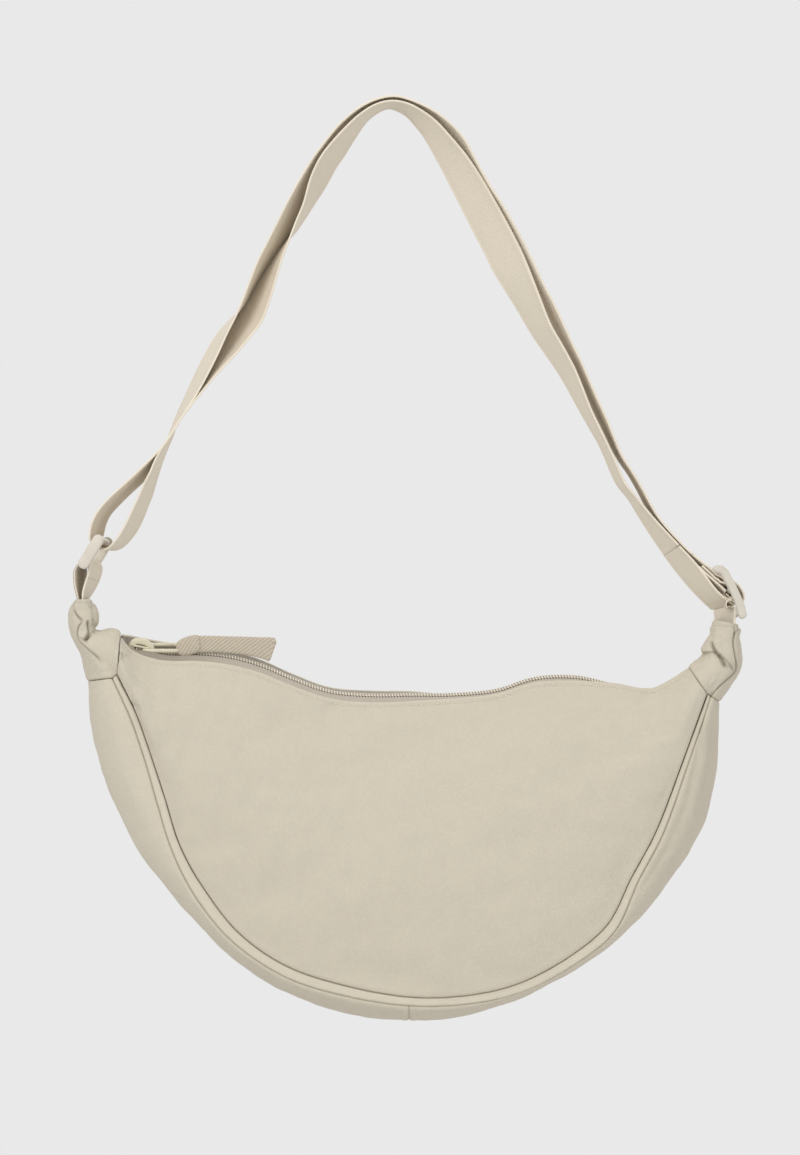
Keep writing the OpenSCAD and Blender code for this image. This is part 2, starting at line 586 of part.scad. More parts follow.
// The strap's two layers over the top, as rows of place, turn and offset
strap_places = [for (r = strap_shares) r[0]];
strap_turns = [for (r = strap_shares) r[1]];
layer_off = (web_t + layer_gap) / 2;
function strap_row(s, way) = [strap_pt(at(strap_places, s)), way * at(strap_turns, s), -layer_off];
steps = 60;
bar_r = bar_d / 2 + lie + web_t / 2;
function side_rows(tab, way) = [for (r = tab) [strap_pt(r[0]), way * r[1], 0]];
function backwards(list) = [for (i = [len(list) - 1:-1:0]) list[i]];
// Share of the run at which the layers part, to go to different bars of the adjuster
fork_share = 0.955;
fork_lead = 0.015;
fork_gap_share = 0.0004;
module strap_webbing() {
    over = [for (i = [steps:-1:0]) strap_row(fork_share * i / steps, -1)];
    under = [for (i = [0:steps]) strap_row(fork_share * i / steps, 1)];
    down = side_rows(left_outer_shares, -1);
    up = backwards(side_rows(left_inner_shares, 1));
    color("burlywood") sweep(concat(web_rings(concat(over, down)),
                                    frame_rings(ring_frame,
                                                bend([0, 0], bar_r, ring_bend_angles, bend_steps)),
                                    web_rings(concat(up, under))));
}

// Stretches at the adjuster, in its frame. The strap's end is folded round the middle bar and sewn, and the
// tail runs over that fold, inside the outer bars and on into the right tab.
sewn_r = mid_bar_d / 2 + lie + web_t / 2;
over_r = sewn_r + web_t + lie;
fold_spread_share = 3.4;
sewn_x = -over_r - fold_spread_share * web_t;
sewn_high_share = 0.72;
sewn_path = concat([[-over_r - web_t - lie, slide_pitch * sewn_high_share],
                    [-over_r - web_t / 2, slide_pitch / 2], [-sewn_r, slide_pitch / 4]],
                   bend([0, 0], sewn_r, sewn_bend_angles, bend_steps),
                   [[-sewn_r, -slide_pitch / 5], [-over_r - web_t, -slide_pitch / 4],
                    [sewn_x, -slide_pitch / 6], [sewn_x, 0]]);
module strap_sewn_end() color("burlywood") sweep(frame_rings(slide_frame, sewn_path));
// The end of one layer over the top, as the ring of points that the next stretch starts from
function layer_end(off) =
    web_rings([for (s = [fork_share - fork_lead, fork_share + fork_gap_share])
        [strap_pt(at(strap_places, s)), at(strap_turns, s), off]])[1];
module strap_slack() {
    color("burlywood") sweep(concat([layer_end(-layer_off)],
                                    frame_rings(slide_frame, [[sewn_x, slide_pitch / 6], [sewn_x, 0]])));
}
// The tail crosses from inside one outer bar over the sewn fold to inside the other
half_turn = 180;
cross_turn = asin((bar_r + over_r) / (slide_pitch / 2));
tail_high_share = 0.7;
tail_low_share = 0.56;
tail_path = concat([[-bar_r - web_t / 2, slide_pitch * tail_high_share]],
                   bend([0, slide_pitch / 2], bar_r, [half_turn, half_turn + cross_turn], part_steps),
                   bend([0, 0], over_r, [cross_turn, -cross_turn], bend_steps),
                   bend([0, -slide_pitch / 2], bar_r, [half_turn - cross_turn, half_turn], part_steps),
                   [[-bar_r - lie, -slide_pitch * tail_low_share]]);
module strap_tail() {
    color("burlywood") sweep(concat([layer_end(layer_off)], frame_rings(slide_frame, tail_path),
                                    web_rings(side_rows(tail_shares, 1))));
}

// The left tab's own loop of webbing, round the ring's lower bar
module tab_loop() {
    right = backwards(side_rows(loop_right_shares, 1));
    left = side_rows(loop_left_shares, 1);
    turn = frame_rings(ring_frame, bend([0, -ring_pitch], bar_r, loop_bend_angles, bend_steps));
    color("burlywood") sweep(concat(web_rings(right), turn, web_rings(left)));
}

front_panel();
back_panel();
front_seam();
back_seam();
gusset_left();
gusset_right();
lining_front();
lining_back();
zip_tape_front();
zip_tape_back();
zip_coil_front();
zip_coil_back();
zip_stops();
zip_slider();
pull_ring();
pull_tab();
end_tab_left();
end_tab_right();
tab_loop();
strap_ring();
strap_webbing();
strap_slack();
strap_sewn_end();
strap_tail();
slide_adjuster();
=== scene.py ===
import math

import bmesh
import bpy
import numpy as np
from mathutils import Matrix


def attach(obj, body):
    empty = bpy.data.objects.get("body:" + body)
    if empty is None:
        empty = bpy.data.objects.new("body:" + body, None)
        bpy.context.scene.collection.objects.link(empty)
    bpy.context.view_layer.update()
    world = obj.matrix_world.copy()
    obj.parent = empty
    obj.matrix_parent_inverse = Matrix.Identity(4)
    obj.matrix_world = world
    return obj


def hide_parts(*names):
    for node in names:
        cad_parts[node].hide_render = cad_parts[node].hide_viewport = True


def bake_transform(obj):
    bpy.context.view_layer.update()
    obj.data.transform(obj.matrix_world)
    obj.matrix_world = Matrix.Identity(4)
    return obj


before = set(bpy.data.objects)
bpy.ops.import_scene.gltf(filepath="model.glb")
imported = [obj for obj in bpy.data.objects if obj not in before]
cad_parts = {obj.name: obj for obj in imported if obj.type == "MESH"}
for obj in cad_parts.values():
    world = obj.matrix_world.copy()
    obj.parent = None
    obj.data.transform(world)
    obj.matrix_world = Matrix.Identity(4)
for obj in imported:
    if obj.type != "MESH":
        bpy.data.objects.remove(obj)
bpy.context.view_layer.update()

MM = 0.001
Y_AXIS = np.array([0, 1.0, 0])

# ---------------------------------------------------------------- sizes, in millimetres
BAG_HALF, BAG_H, STRAP_DROP, HANG_X = 200.0, 215.0, 364.0, 9.0
SEAM_DEPTH, DOME, EDGE_Y = 78.0, 9.0, 10.0
END_DEPTH_SHARE, SWELL_POWER = 0.56, 0.7
FABRIC_T, WEB_W, THIN = 1.6, 30.0, 1.35
BAG_Z = -STRAP_DROP - BAG_H
LIE = 0.45
COIL_W, COIL_H = 2.2, 2.4
RING_PITCH = 16.8
BAR_D, MID_BAR_D, RAIL_H, RAIL_H_RING, RAIL_T, RAIL_PLAY = 5.0, 4.0, 5.2, 7.2, 4.2, 1.0
WIRE_D, WIRE_W, PULL_T = 2.7, 11.4, 2.6
# How far rows of stitches lie from their edges: along the zip, by the bottom seam, at a tab's seam and its mouth
ZIP_ROW, BOTTOM_ROW, TAB_ROW, MOUTH_ROW = 3.2, 4.0, 4.2, 3.0
ZIP_ROW_PITCH = 3.4
# The photograph, in pixels: its width and height; the bag's middle, half width, lowest line and height in it
PHOTO_W, PHOTO_H = 800, 1155
PX_MID, PX_HALF, PX_LOW, PX_HIGH = 403, 316, 1020.5, 340

# Outlines seen from the front: shares of BAG_HALF sideways and of BAG_H up, as in the solids
OUTLINE = np.array([
    [-0.998, 0.998], [-0.989, 0.878], [-0.962, 0.757], [-0.911, 0.631], [-0.829, 0.487], [-0.712, 0.351],
    [-0.560, 0.199], [-0.373, 0.084], [-0.184, 0.022], [0.019, 0.000], [0.209, 0.016], [0.392, 0.075],
    [0.573, 0.160], [0.731, 0.281], [0.854, 0.425], [0.949, 0.572], [0.991, 0.743], [1.001, 0.937]])
SEAM_OUT = np.array([
    [-0.919, 1.007], [-0.861, 0.890], [-0.813, 0.760], [-0.775, 0.637], [-0.728, 0.499], [-0.655, 0.366],
    [-0.538, 0.234], [-0.373, 0.131], [-0.184, 0.075], [0.019, 0.046], [0.206, 0.051], [0.380, 0.087],
    [0.541, 0.166], [0.668, 0.263], [0.744, 0.413], [0.823, 0.554], [0.896, 0.743], [0.973, 0.954]])
SEAM_IN = np.array([
    [-0.903, 1.016], [-0.839, 0.896], [-0.791, 0.769], [-0.750, 0.651], [-0.703, 0.513], [-0.627, 0.387],
    [-0.516, 0.257], [-0.364, 0.160], [-0.177, 0.103], [0.019, 0.071], [0.199, 0.075], [0.364, 0.110],
    [0.522, 0.187], [0.646, 0.284], [0.722, 0.422], [0.801, 0.560], [0.880, 0.751], [0.962, 0.960]])
TOP = np.array([
    [-0.892, 1.131], [-0.861, 1.096], [-0.810, 1.072], [-0.737, 1.060], [-0.652, 1.059], [-0.554, 1.049],
    [-0.453, 1.025], [-0.345, 0.984], [-0.231, 0.949], [-0.104, 0.937], [0.028, 0.941], [0.165, 0.949],
    [0.297, 0.963], [0.418, 0.996], [0.544, 1.001], [0.665, 0.994], [0.788, 0.981], [0.902, 1.040]])
# How far the back edge stands above the front edge, and how the coil between them rises and drops
BACK_LIFT = np.array([0.006, 0.038, 0.052, 0.052, 0.046, 0.041, 0.038, 0.035, 0.032,
                      0.034, 0.028, 0.010, 0.006, 0.010, 0.014, -0.002, -0.005, -0.003])[:, None]
COIL_DROP = np.array([0.0] * 14 + [-0.002, -0.012, -0.014, -0.012])[:, None]
COIL_RISE = np.array([0, 0, 0.285, 0.265, 0.33] + [0.4] * 13)[:, None]
# The end tabs, in the photograph's pixels: the outer edge, the inner edge and how deep, from body to mouth
TAB_LEFT = np.array([
    [87.6, 681.2, 121.1, 636.0, 1.0], [86.5, 668.0, 113.5, 632.8, 0.85], [82.0, 656.0, 104.0, 630.5, 0.7],
    [76.0, 645.5, 96.5, 629.8, 0.5], [70.5, 634.0, 95.3, 627.0, 0.35], [68.0, 622.0, 98.0, 619.5, 0.25],
    [69.0, 611.0, 97.0, 611.5, 0.15], [73.0, 603.0, 93.5, 604.0, 0.05], [77.0, 599.3, 90.0, 598.7, 0.0]])
TAB_RIGHT = np.array([
    [719.3, 701.9, 688.0, 666.9, 1.0], [727.5, 690.5, 692.5, 663.5, 0.85], [735.5, 679.0, 697.5, 659.0, 0.7],
    [740.5, 668.5, 701.8, 654.0, 0.5], [742.3, 658.5, 702.0, 648.0, 0.35], [741.5, 647.5, 705.5, 641.0, 0.25],
    [739.0, 637.5, 709.5, 634.5, 0.15], [740.3, 630.0, 710.3, 627.5, 0.05], [736.0, 623.5, 714.0, 620.0, 0.0]])
# Webbing, in the photograph's pixels: its front edge and its back edge
OUTER = np.array([
    [694, 554, 688, 559], [683, 543.5, 677.5, 548], [659.6, 517, 655, 520.5], [643.3, 488.3, 639, 490.5],
    [633, 471, 629, 473], [621.7, 453, 617, 455.5], [608.3, 420, 601, 423], [596, 393, 588, 397],
    [584, 365, 575, 369], [572, 340, 562, 344], [557.8, 309, 546, 314], [543, 280, 531, 286], [528, 248, 517, 254],
    [513, 220, 504, 225], [501, 200, 493, 205], [489.5, 182, 481, 187], [478, 161, 467, 167], [466, 139, 452, 149],
    [450, 121, 440, 133], [430, 107, 425, 115], [406, 97, 404, 102], [390, 95, 390, 98], [371, 100, 373, 103],
    [356, 108.5, 360, 112], [342, 120, 347, 124], [331, 132, 337, 136], [321, 145, 328, 149], [312, 157, 322, 162],
    [298, 180, 312, 187], [287, 200, 303, 208], [277, 220, 294, 228], [267, 240, 282, 247], [257, 260, 267, 266],
    [248, 283, 254, 285], [240, 304, 243, 305], [234, 318, 231, 317], [226, 334, 218, 331], [218, 352, 207, 348],
    [207, 374, 196, 369], [196, 394, 187, 389], [183, 414, 177, 411], [172, 432, 169.5, 430.5],
    [163.5, 444, 164.5, 445.5], [156, 452, 158.5, 455], [149, 459, 154, 465], [135.8, 472, 143, 480],
    [122.4, 484.4, 130, 492], [109, 496.7, 118, 504], [99, 507.8, 109, 514], [91.3, 521, 104, 525],
    [88.5, 533, 102, 535]])
INNER = np.array([
    [114, 541, 123, 545.5], [119, 533.5, 130.5, 537.5], [124, 525, 137.5, 527.5], [128.5, 516, 143, 515.5],
    [133, 506.5, 147.5, 504], [138, 496, 151.5, 494], [143.5, 483.3, 155, 482], [149, 473, 158, 471.5],
    [153, 463, 161, 461.5], [158.5, 452, 166, 449], [164.5, 442.5, 169.5, 440.5], [171, 433, 173, 431.5],
    [179, 420, 175.5, 418.5], [192, 403, 185, 398.5], [207, 385, 196, 378], [222, 367.5, 208, 357],
    [237, 352, 219.5, 340], [249.5, 337, 231, 322], [261, 322, 241, 307], [270, 298, 251, 290],
    [276, 277, 262, 270], [282, 256, 274, 252], [287, 243, 284.5, 241], [291.5, 231, 293.5, 232],
    [296, 219, 301, 221.5], [303, 202, 311, 206.4], [309, 179, 324.7, 185.5], [318, 159, 334.5, 167.5],
    [328, 145, 343.5, 154.5], [340.5, 131, 352.3, 140], [356, 116, 365, 121], [370, 106, 376, 111.5],
    [382, 101, 385, 107], [392, 99.5, 391.5, 106.5], [402, 100.5, 400, 110], [412, 103.5, 409, 115.5],
    [424, 110, 418, 126], [437, 120, 426, 137], [450, 134, 433, 150], [466, 153, 443, 169], [478, 170, 452, 187],
    [489, 188, 461, 205], [505, 217, 473, 229], [517, 240, 484, 250], [527, 261, 494, 270], [539, 292, 515, 304],
    [551, 323, 532, 332.3], [564, 346, 547, 354], [577, 371, 562.5, 377], [591.5, 408, 582, 412],
    [599, 424, 591, 427.6], [606.5, 439.5, 599.5, 442.5], [612.5, 452.5, 605.5, 455.5], [618.5, 466, 611, 469],
    [624.5, 480, 618, 484], [631, 489.5, 625, 492.5], [637, 496, 631, 500.5], [650, 512.5, 641, 517.5],
    [666.7, 531, 654, 538], [680, 545, 665.5, 555]])
# Below the fork: the sewn layer down to its fold, and the long layer to the adjuster's top bar
INNER_END = np.array([
    [680, 545, 665.5, 555], [691, 556.5, 676, 569.5], [701.4, 568.6, 687, 583], [709, 579, 695, 592],
    [715.7, 587.7, 701, 598], [722.5, 594.5, 705.5, 602.5], [729, 599.5, 708.5, 605], [733.6, 603.5, 711.5, 608]])
OUTER_END = np.array([
    [694, 554, 688, 559], [702.5, 561, 694, 567.5], [712, 568.5, 700, 576], [718, 574.5, 704.5, 582.5]])
TURN = np.array([
    [88.5, 533, 102, 535], [89.5, 540, 101.5, 541], [94, 546.5, 104, 546], [101, 549.5, 111, 549],
    [108.5, 547, 118.5, 548], [114, 541, 123, 545.5]])
TAIL_LOW = np.array([[735, 606.5, 714.5, 609], [735.5, 613, 714.5, 615.5], [734.5, 620, 715, 622],
                     [734, 628, 716, 629]])
LOOP_LEFT = np.array([[75.0, 573, 87.5, 569], [75.6, 584, 86, 583], [77.6, 593, 84, 592.5],
                      [79.5, 600, 82.5, 600], [80, 610, 82, 610]])
LOOP_RIGHT = np.array([[88.5, 567, 101.5, 564], [87, 575, 99.5, 575], [83.6, 585, 95, 585.5], [81.7, 593, 90, 593.5],
                       [82, 600, 86, 600], [83, 610, 85.5, 610]])


# ---------------------------------------------------------------- small maths
def lerp(a, b, t):
    return a + (b - a) * t


def unit(v):
    return v / np.maximum(np.linalg.norm(v, axis=-1, keepdims=True), 1e-12)


def at(tab, s):
    """The value of an evenly spaced table at shares s of its run, on a smooth curve."""
    s = np.atleast_1d(np.asarray(s, float))
    n = len(tab)
    f = s * (n - 1)
    i = np.clip(np.floor(f).astype(int), 0, n - 2)
    t = (f - i)[:, None]
    a, b, c, d = (tab[np.clip(i + k, 0, n - 1)] for k in (-1, 0, 1, 2))
    return 0.5 * (2 * b + (c - a) * t + (2 * a - 5 * b + 4 * c - d) * t**2 + (3 * b - a - 3 * c + d) * t**3)


def smooth(t):
    t = np.clip(t, 0, 1)
    return t * t * (3 - 2 * t)


def bell(x, width):
    return np.exp(-(x / width) ** 2)


def circle(k):
    return 2 * np.pi * np.arange(k) / k


def squared(x, power):
    return np.sign(x) * np.abs(x) ** power


def run_of(p):
    """Running length along a run of places, from nothing."""
    return np.concatenate([[0], np.cumsum(np.linalg.norm(np.diff(p, axis=0), axis=-1))])


def sample(spots, run, a):
    """A table's columns at running lengths."""
    return np.stack([np.interp(spots, run, a[:, i]) for i in range(a.shape[1])], 1)


def circles(middle, a, b, radius, k):
    """A circle of k places round each middle, in the plane of a and b."""
    g = circle(k)
    return middle[:, None] + radius * (a[:, None] * np.cos(g)[None, :, None] + b[:, None] * np.sin(g)[None, :, None])


def prism(k):
    """The faces of a solid between two outlines of k points: its sides and its ends."""
    sides = [(i, k + i, k + (i + 1) % k, (i + 1) % k) for i in range(k)]
    return sides, [tuple(range(k)), tuple(range(2 * k - 1, k - 1, -1))]


def px(points):
    """Places in the photograph's frame, in pixels, as x and z in millimetres."""
    p = np.asarray(points, float)
    return np.stack([HANG_X + (p[..., 0] - PX_MID) * BAG_HALF / PX_HALF,
                     BAG_Z + (PX_LOW - p[..., 1]) * BAG_H / PX_HIGH], -1)


def bag_pt(share, y):
    y = np.broadcast_to(y, share.shape[:-1])
    return np.stack([HANG_X + share[..., 0] * BAG_HALF, y, BAG_Z + share[..., 1] * BAG_H], -1)


def swell(s):
    return END_DEPTH_SHARE + (1 - END_DEPTH_SHARE) * np.maximum(0, np.sin(np.pi * s)) ** SWELL_POWER


def seam_y(s):
    return SEAM_DEPTH / 2 * swell(s)


def lift(s):
    return np.concatenate([np.zeros((len(s), 1)), at(BACK_LIFT, s)], 1)


def coil_pt(s):
    s = np.atleast_1d(s)
    rise = at(BACK_LIFT, s) * at(COIL_RISE, s) + at(COIL_DROP, s)
    return bag_pt(at(TOP, s) + np.concatenate([0 * rise, rise], 1), 0)


def panel_pt(side, s, v):
    """s is a column of shares along the bag; v has a row of shares for each."""
    top = (at(TOP, s) + (lift(s) if side > 0 else 0))[:, None]
    low = at(SEAM_IN, s)[:, None]
    k = swell(s)[:, None]
    y = lerp(EDGE_Y, seam_y(s)[:, None], np.sin(np.pi / 2 * v)) + DOME * k * np.sin(np.pi * v)
    return bag_pt(lerp(top, low, v[..., None]), side * y)


def panel_length(side, s):
    """How far it is down the panel, from its zip edge to its seam."""
    low, top = (panel_pt(side, s, np.full((len(s), 1), v))[:, 0] for v in (1.0, 0.0))
    return np.linalg.norm(low - top, axis=-1)


def channel_pt(side, s, v):
    return bag_pt(lerp(at(SEAM_IN, s)[:, None], at(SEAM_OUT, s)[:, None], v[..., None]),
                  side * seam_y(s)[:, None])


def gusset_pt(s, a):
    c, o = at(SEAM_OUT, s)[:, None], at(OUTLINE, s)[:, None]
    return bag_pt(lerp(c, o, np.sin(np.pi * a)[..., None]), -seam_y(s)[:, None] * np.cos(np.pi * a))


def grid_normals(P, turn):
    return turn * unit(np.cross(np.gradient(P, axis=0), np.gradient(P, axis=1)))


def ripple(P, size, seed, waves=14):
    """Soft random undulation of about one, the same on every run."""
    rng = np.random.default_rng(seed)
    k = unit(rng.normal(size=(waves, 3))) * (2 * np.pi / size) * rng.uniform(0.6, 1.3, (waves, 1))
    ph = rng.uniform(0, 2 * np.pi, waves)
    return np.cos(P @ k.T + ph).sum(-1) / math.sqrt(waves / 2)


def distance(P, line):
    """Distance in the picture plane from points to a run of places, the side of it that each is on and how
    far along it they lie as a share."""
    q = P[..., [0, 2]]
    best = np.full(q.shape[:-1], 1e9)
    side = np.zeros_like(best)
    along = np.zeros_like(best)
    n = len(line) - 1
    for i in range(n):
        a, b = line[i], line[i + 1]
        d = b - a
        t = np.clip(((q - a) @ d) / (d @ d), 0, 1)
        r = q - (a + t[..., None] * d)
        m = np.hypot(r[..., 0], r[..., 1])
        s = np.sign(d[0] * r[..., 1] - d[1] * r[..., 0])
        w = m < best
        best[w], side[w], along[w] = m[w], s[w], ((i + t) / n)[w]
    return best, side, along


def dense(points, n=60):
    """A table drawn out to n evenly spaced places."""
    return at(np.asarray(points, float), np.linspace(0, 1, n))


def closed(ring):
    return np.concatenate([ring, ring[:1]])


def across(line):
    """The directions along a flat run of places, and those across it."""
    d = unit(np.gradient(line, axis=0))
    return d, np.stack([-d[:, 1], d[:, 0]], 1)


def carve(P, N, shade, strokes, sides=(-1, 1)):
    """Moves points along their normals at folds drawn in the picture, front and back, and paints shade into each
    fold's groove. A fold is (places, groove depth, groove width, rise of the side that lies over, its reach, painted
    shade in the groove, which side); what is left off is nothing. A positive rise is on the viewer's right of a run
    drawn downwards."""
    h = np.zeros(P.shape[:-1])
    for line, depth, width, *more in strokes:
        rise, reach, dark, which = (more + [0] * 4)[:4]
        if which not in sides and which != 0:
            continue
        d, side, along = distance(P, dense(px(line)))
        fade = smooth(np.minimum(along, 1 - along) / 0.14 + 0.1)
        h -= depth * bell(d, width) * fade
        if rise:
            q = d * side * np.sign(rise)
            over = smooth((q + 0.5) / 1.5) * bell(np.maximum(q, 0), reach)
            below = 0.35 * (q < 0) * bell(q, 0.5 * reach) * (1 - bell(q, 0.8))
            h += abs(rise) * (over - below) * fade
        # painted shade along the fold's groove
        shade *= 1 - dark * bell(d, 0.8 * width) * fade
    return P + N * h[..., None], shade


# ---------------------------------------------------------------- meshes
def volume(verts, faces):
    total = 0.0
    for k in sorted({len(f) for f in faces}):
        f = np.array([q for q in faces if len(q) == k])
        a = verts[f[:, 0]]
        for i in range(1, k - 1):
            total += np.einsum("ij,ij->i", a, np.cross(verts[f[:, i]], verts[f[:, i + 1]])).sum()
    return total


def linked(name, data):
    o = bpy.data.objects.new(name, data)
    bpy.context.scene.collection.objects.link(o)
    return o


def mesh_object(name, verts, faces, shade=None, uv=None):
    """A closed mesh whose faces look outwards."""
    if volume(np.asarray(verts), faces) < 0:
        faces = [f[::-1] for f in faces]
    me = bpy.data.meshes.new(name)
    me.from_pydata((np.asarray(verts) * MM).tolist(), [], [tuple(f) for f in faces])
    me.update()
    if shade is not None:
        a = me.attributes.new("shade", "FLOAT", "POINT")
        a.data.foreach_set("value", np.asarray(shade, np.float32).ravel())
    if uv is not None:
        layer = me.uv_layers.new(name="UVMap")
        loops = np.zeros(len(me.loops), np.int32)
        me.loops.foreach_get("vertex_index", loops)
        layer.data.foreach_set("uv", (np.asarray(uv, np.float32).reshape(-1, 2) * MM)[loops].ravel())
    me.polygons.foreach_set("use_smooth", np.ones(len(me.polygons), bool))
    return linked(name, me)


def arc_uv(P):
    """Running lengths along both directions of a grid, in millimetres."""
    du = np.linalg.norm(np.diff(P, axis=0), axis=-1)
    dv = np.linalg.norm(np.diff(P, axis=1), axis=-1)
    u = np.concatenate([[0], np.cumsum(np.median(du, axis=1))])[:, None] + 0 * P[..., 0]
    v = np.concatenate([np.zeros((len(P), 1)), np.cumsum(dv, axis=1)], 1)
    v = v - v[:, -1:] / 2
    return np.stack([u, v], -1)


def slab(name, top, bottom, shade):
    """A closed solid between two grids of points."""
    n, m = top.shape[:2]
    o = n * m
    i, j = np.meshgrid(np.arange(n - 1), np.arange(m - 1), indexing="ij")
    a = (i * m + j).ravel()
    up = np.stack([a, a + 1, a + m + 1, a + m], 1)
    down = np.stack([o + a, o + a + m, o + a + m + 1, o + a + 1], 1)
    e = np.arange(n - 1) * m
    f = np.arange(m - 1)
    r = (n - 1) * m
    left = np.stack([e, e + m, o + e + m, o + e], 1)
    right = np.stack([e + m - 1, o + e + m - 1, o + e + 2 * m - 1, e + 2 * m - 1], 1)
    first = np.stack([f, o + f, o + f + 1, f + 1], 1)
    last = np.stack([r + f, r + f + 1, o + r + f + 1, o + r + f], 1)
    faces = np.concatenate([up, down, left, right, first, last])
    uv = arc_uv(top)
    return mesh_object(name, np.concatenate([top.reshape(-1, 3), bottom.reshape(-1, 3)]), faces,
                       np.concatenate([shade.ravel(), shade.ravel()]), np.concatenate([uv, uv]))


def sweep(name, rings, shade=None):
    """A solid through rings of points that all have as many points."""
    rings = np.asarray(rings, float)
    n, m = rings.shape[:2]
    i, j = np.meshgrid(np.arange(n - 1), np.arange(m), indexing="ij")
    k = (j + 1) % m
    faces = np.stack([i * m + j, i * m + k, (i + 1) * m + k, (i + 1) * m + j], -1).reshape(-1, 4).tolist()
    faces.append(list(range(m - 1, -1, -1)))
    faces.append([(n - 1) * m + q for q in range(m)])
    u = run_of(rings.mean(1))
    step = np.linalg.norm(np.roll(rings, -1, 1) - rings, axis=-1).mean(0)
    v = np.concatenate([[0], np.cumsum(step)[:-1]])
    uv = np.stack(np.broadcast_arrays(u[:, None], v[None, :]), -1)
    return mesh_object(name, rings.reshape(-1, 3), faces, shade, uv)


def join(name, objects):
    bpy.ops.object.select_all(action="DESELECT")
    for o in objects:
        o.select_set(True)
    bpy.context.view_layer.objects.active = objects[0]
    bpy.ops.object.join()
    objects[0].name = name
    objects[0].data.name = name
    return objects[0]


# ---------------------------------------------------------------- materials
def nodes_of(name):
    m = bpy.data.materials.new(name)
    m.use_nodes = True
    return m, m.node_tree, m.node_tree.nodes["Principled BSDF"]


def put(node, **values):
    """Sets inputs by name; an underscore stands for a space."""
    for key, value in values.items():
        node.inputs[key.replace("_", " ")].default_value = value


def add(t, kind, **values):
    n = t.nodes.new(kind)
    for key, value in values.items():
        if key in n.inputs:
            n.inputs[key].default_value = value
        else:
            setattr(n, key, value)
    return n


def mix_rgb(t, a, b, fac, blend="MIX"):
    n = add(t, "ShaderNodeMix", data_type="RGBA", blend_type=blend)
    for socket, value in ((n.inputs[0], fac), (n.inputs[6], a), (n.inputs[7], b)):
        if isinstance(value, (int, float, tuple)):
            socket.default_value = value
        else:
            t.links.new(value, socket)
    return n.outputs[2]


def maths(t, op, a, b):
    n = add(t, "ShaderNodeMath", operation=op)
    for socket, value in zip(n.inputs, (a, b)):
        if isinstance(value, (int, float)):
            socket.default_value = value
        else:
            t.links.new(value, socket)
    return n.outputs[0]


def wave(t, uv, pitch, direction, distortion):
    n = add(t, "ShaderNodeTexWave", wave_type="BANDS", bands_direction=direction, wave_profile="SIN",
            Scale=math.pi / 10 / pitch, Distortion=distortion, Detail=1.0)
    t.links.new(uv, n.inputs["Vector"])
    return n.outputs["Fac"]


def noise(t, vector, size, detail=3.0, rough=0.55):
    n = add(t, "ShaderNodeTexNoise", noise_dimensions="3D", Scale=1 / size, Detail=detail, Roughness=rough)
    t.links.new(vector, n.inputs["Vector"])
    return n.outputs["Fac"]


def relief(t, bsdf, height, strength, distance):
    b = add(t, "ShaderNodeBump", Strength=strength, Distance=distance)
    t.links.new(height, b.inputs["Height"])
    t.links.new(b.outputs[0], bsdf.inputs["Normal"])


def woven(name, colour, dark, light, pitch, bands, grain, bump, roughness=0.86, sheen=0.25, mottle=0.5):
    """A woven material: threads in UV space, mottling in space, and painted shade and painted highlights from the
    shade attribute.
    """
    m, t, bsdf = nodes_of(name)
    uv = add(t, "ShaderNodeUVMap", uv_map="UVMap").outputs[0]
    place = add(t, "ShaderNodeTexCoord").outputs["Object"]
    threads = [wave(t, uv, pitch, d, 0.6) for d in bands]
    weave = threads[0] if len(threads) == 1 else maths(t, "MULTIPLY", threads[0], threads[1])
    fine = noise(t, place, grain, 2.0, 0.6)
    broad = noise(t, place, 0.011, 3.0, 0.5)
    c = mix_rgb(t, dark + (1,), colour + (1,), maths(t, "ADD", 0.62, maths(t, "MULTIPLY", weave, 0.38)))
    c = mix_rgb(t, c, light + (1,), maths(t, "MULTIPLY", maths(t, "SUBTRACT", fine, 0.42), 0.7))
    tint = mix_rgb(t, (0.93, 0.935, 0.94, 1), (1.05, 1.045, 1.03, 1), broad)
    c = mix_rgb(t, c, tint, mottle, "MULTIPLY")
    # painted shade and highlight: the shade attribute darkens grooves, creases and gaps, turning warmer as it
    # darkens; values above one paint light
    shade = add(t, "ShaderNodeAttribute", attribute_name="shade").outputs["Fac"]
    grey = add(t, "ShaderNodeCombineColor")
    for i, power in enumerate((1.0, 1.04, 1.14)):
        t.links.new(maths(t, "POWER", shade, power), grey.inputs[i])
    c = mix_rgb(t, c, grey.outputs[0], 1.0, "MULTIPLY")
    t.links.new(c, bsdf.inputs["Base Color"])
    put(bsdf, Roughness=roughness, Specular_IOR_Level=0.22, Sheen_Weight=sheen, Sheen_Roughness=0.5,
        Sheen_Tint=light + (1,))
    height = maths(t, "ADD", maths(t, "MULTIPLY", weave, 0.6), maths(t, "MULTIPLY", fine, 0.5))
    relief(t, bsdf, height, bump, 0.0004)
    return m


def moulded(name, colour, worn, roughness, coat=0.0, bump=0.12):
    """Moulded plastic or painted metal: a fine grain, a little unevenness and lighter worn spots."""
    m, t, bsdf = nodes_of(name)
    place = add(t, "ShaderNodeTexCoord").outputs["Object"]
    fine, broad = noise(t, place, 0.0009, 3.0, 0.6), noise(t, place, 0.009, 3.0, 0.6)
    ramp = add(t, "ShaderNodeValToRGB")
    for stop, position, tone in zip(ramp.color_ramp.elements, (0.35, 0.75), (colour, worn)):
        stop.position, stop.color = position, tone + (1,)
    t.links.new(broad, ramp.inputs[0])
    t.links.new(ramp.outputs[0], bsdf.inputs["Base Color"])
    put(bsdf, Coat_Weight=coat)
    t.links.new(maths(t, "ADD", roughness, maths(t, "MULTIPLY", fine, 0.12)), bsdf.inputs["Roughness"])
    relief(t, bsdf, fine, bump, 0.0002)
    return m


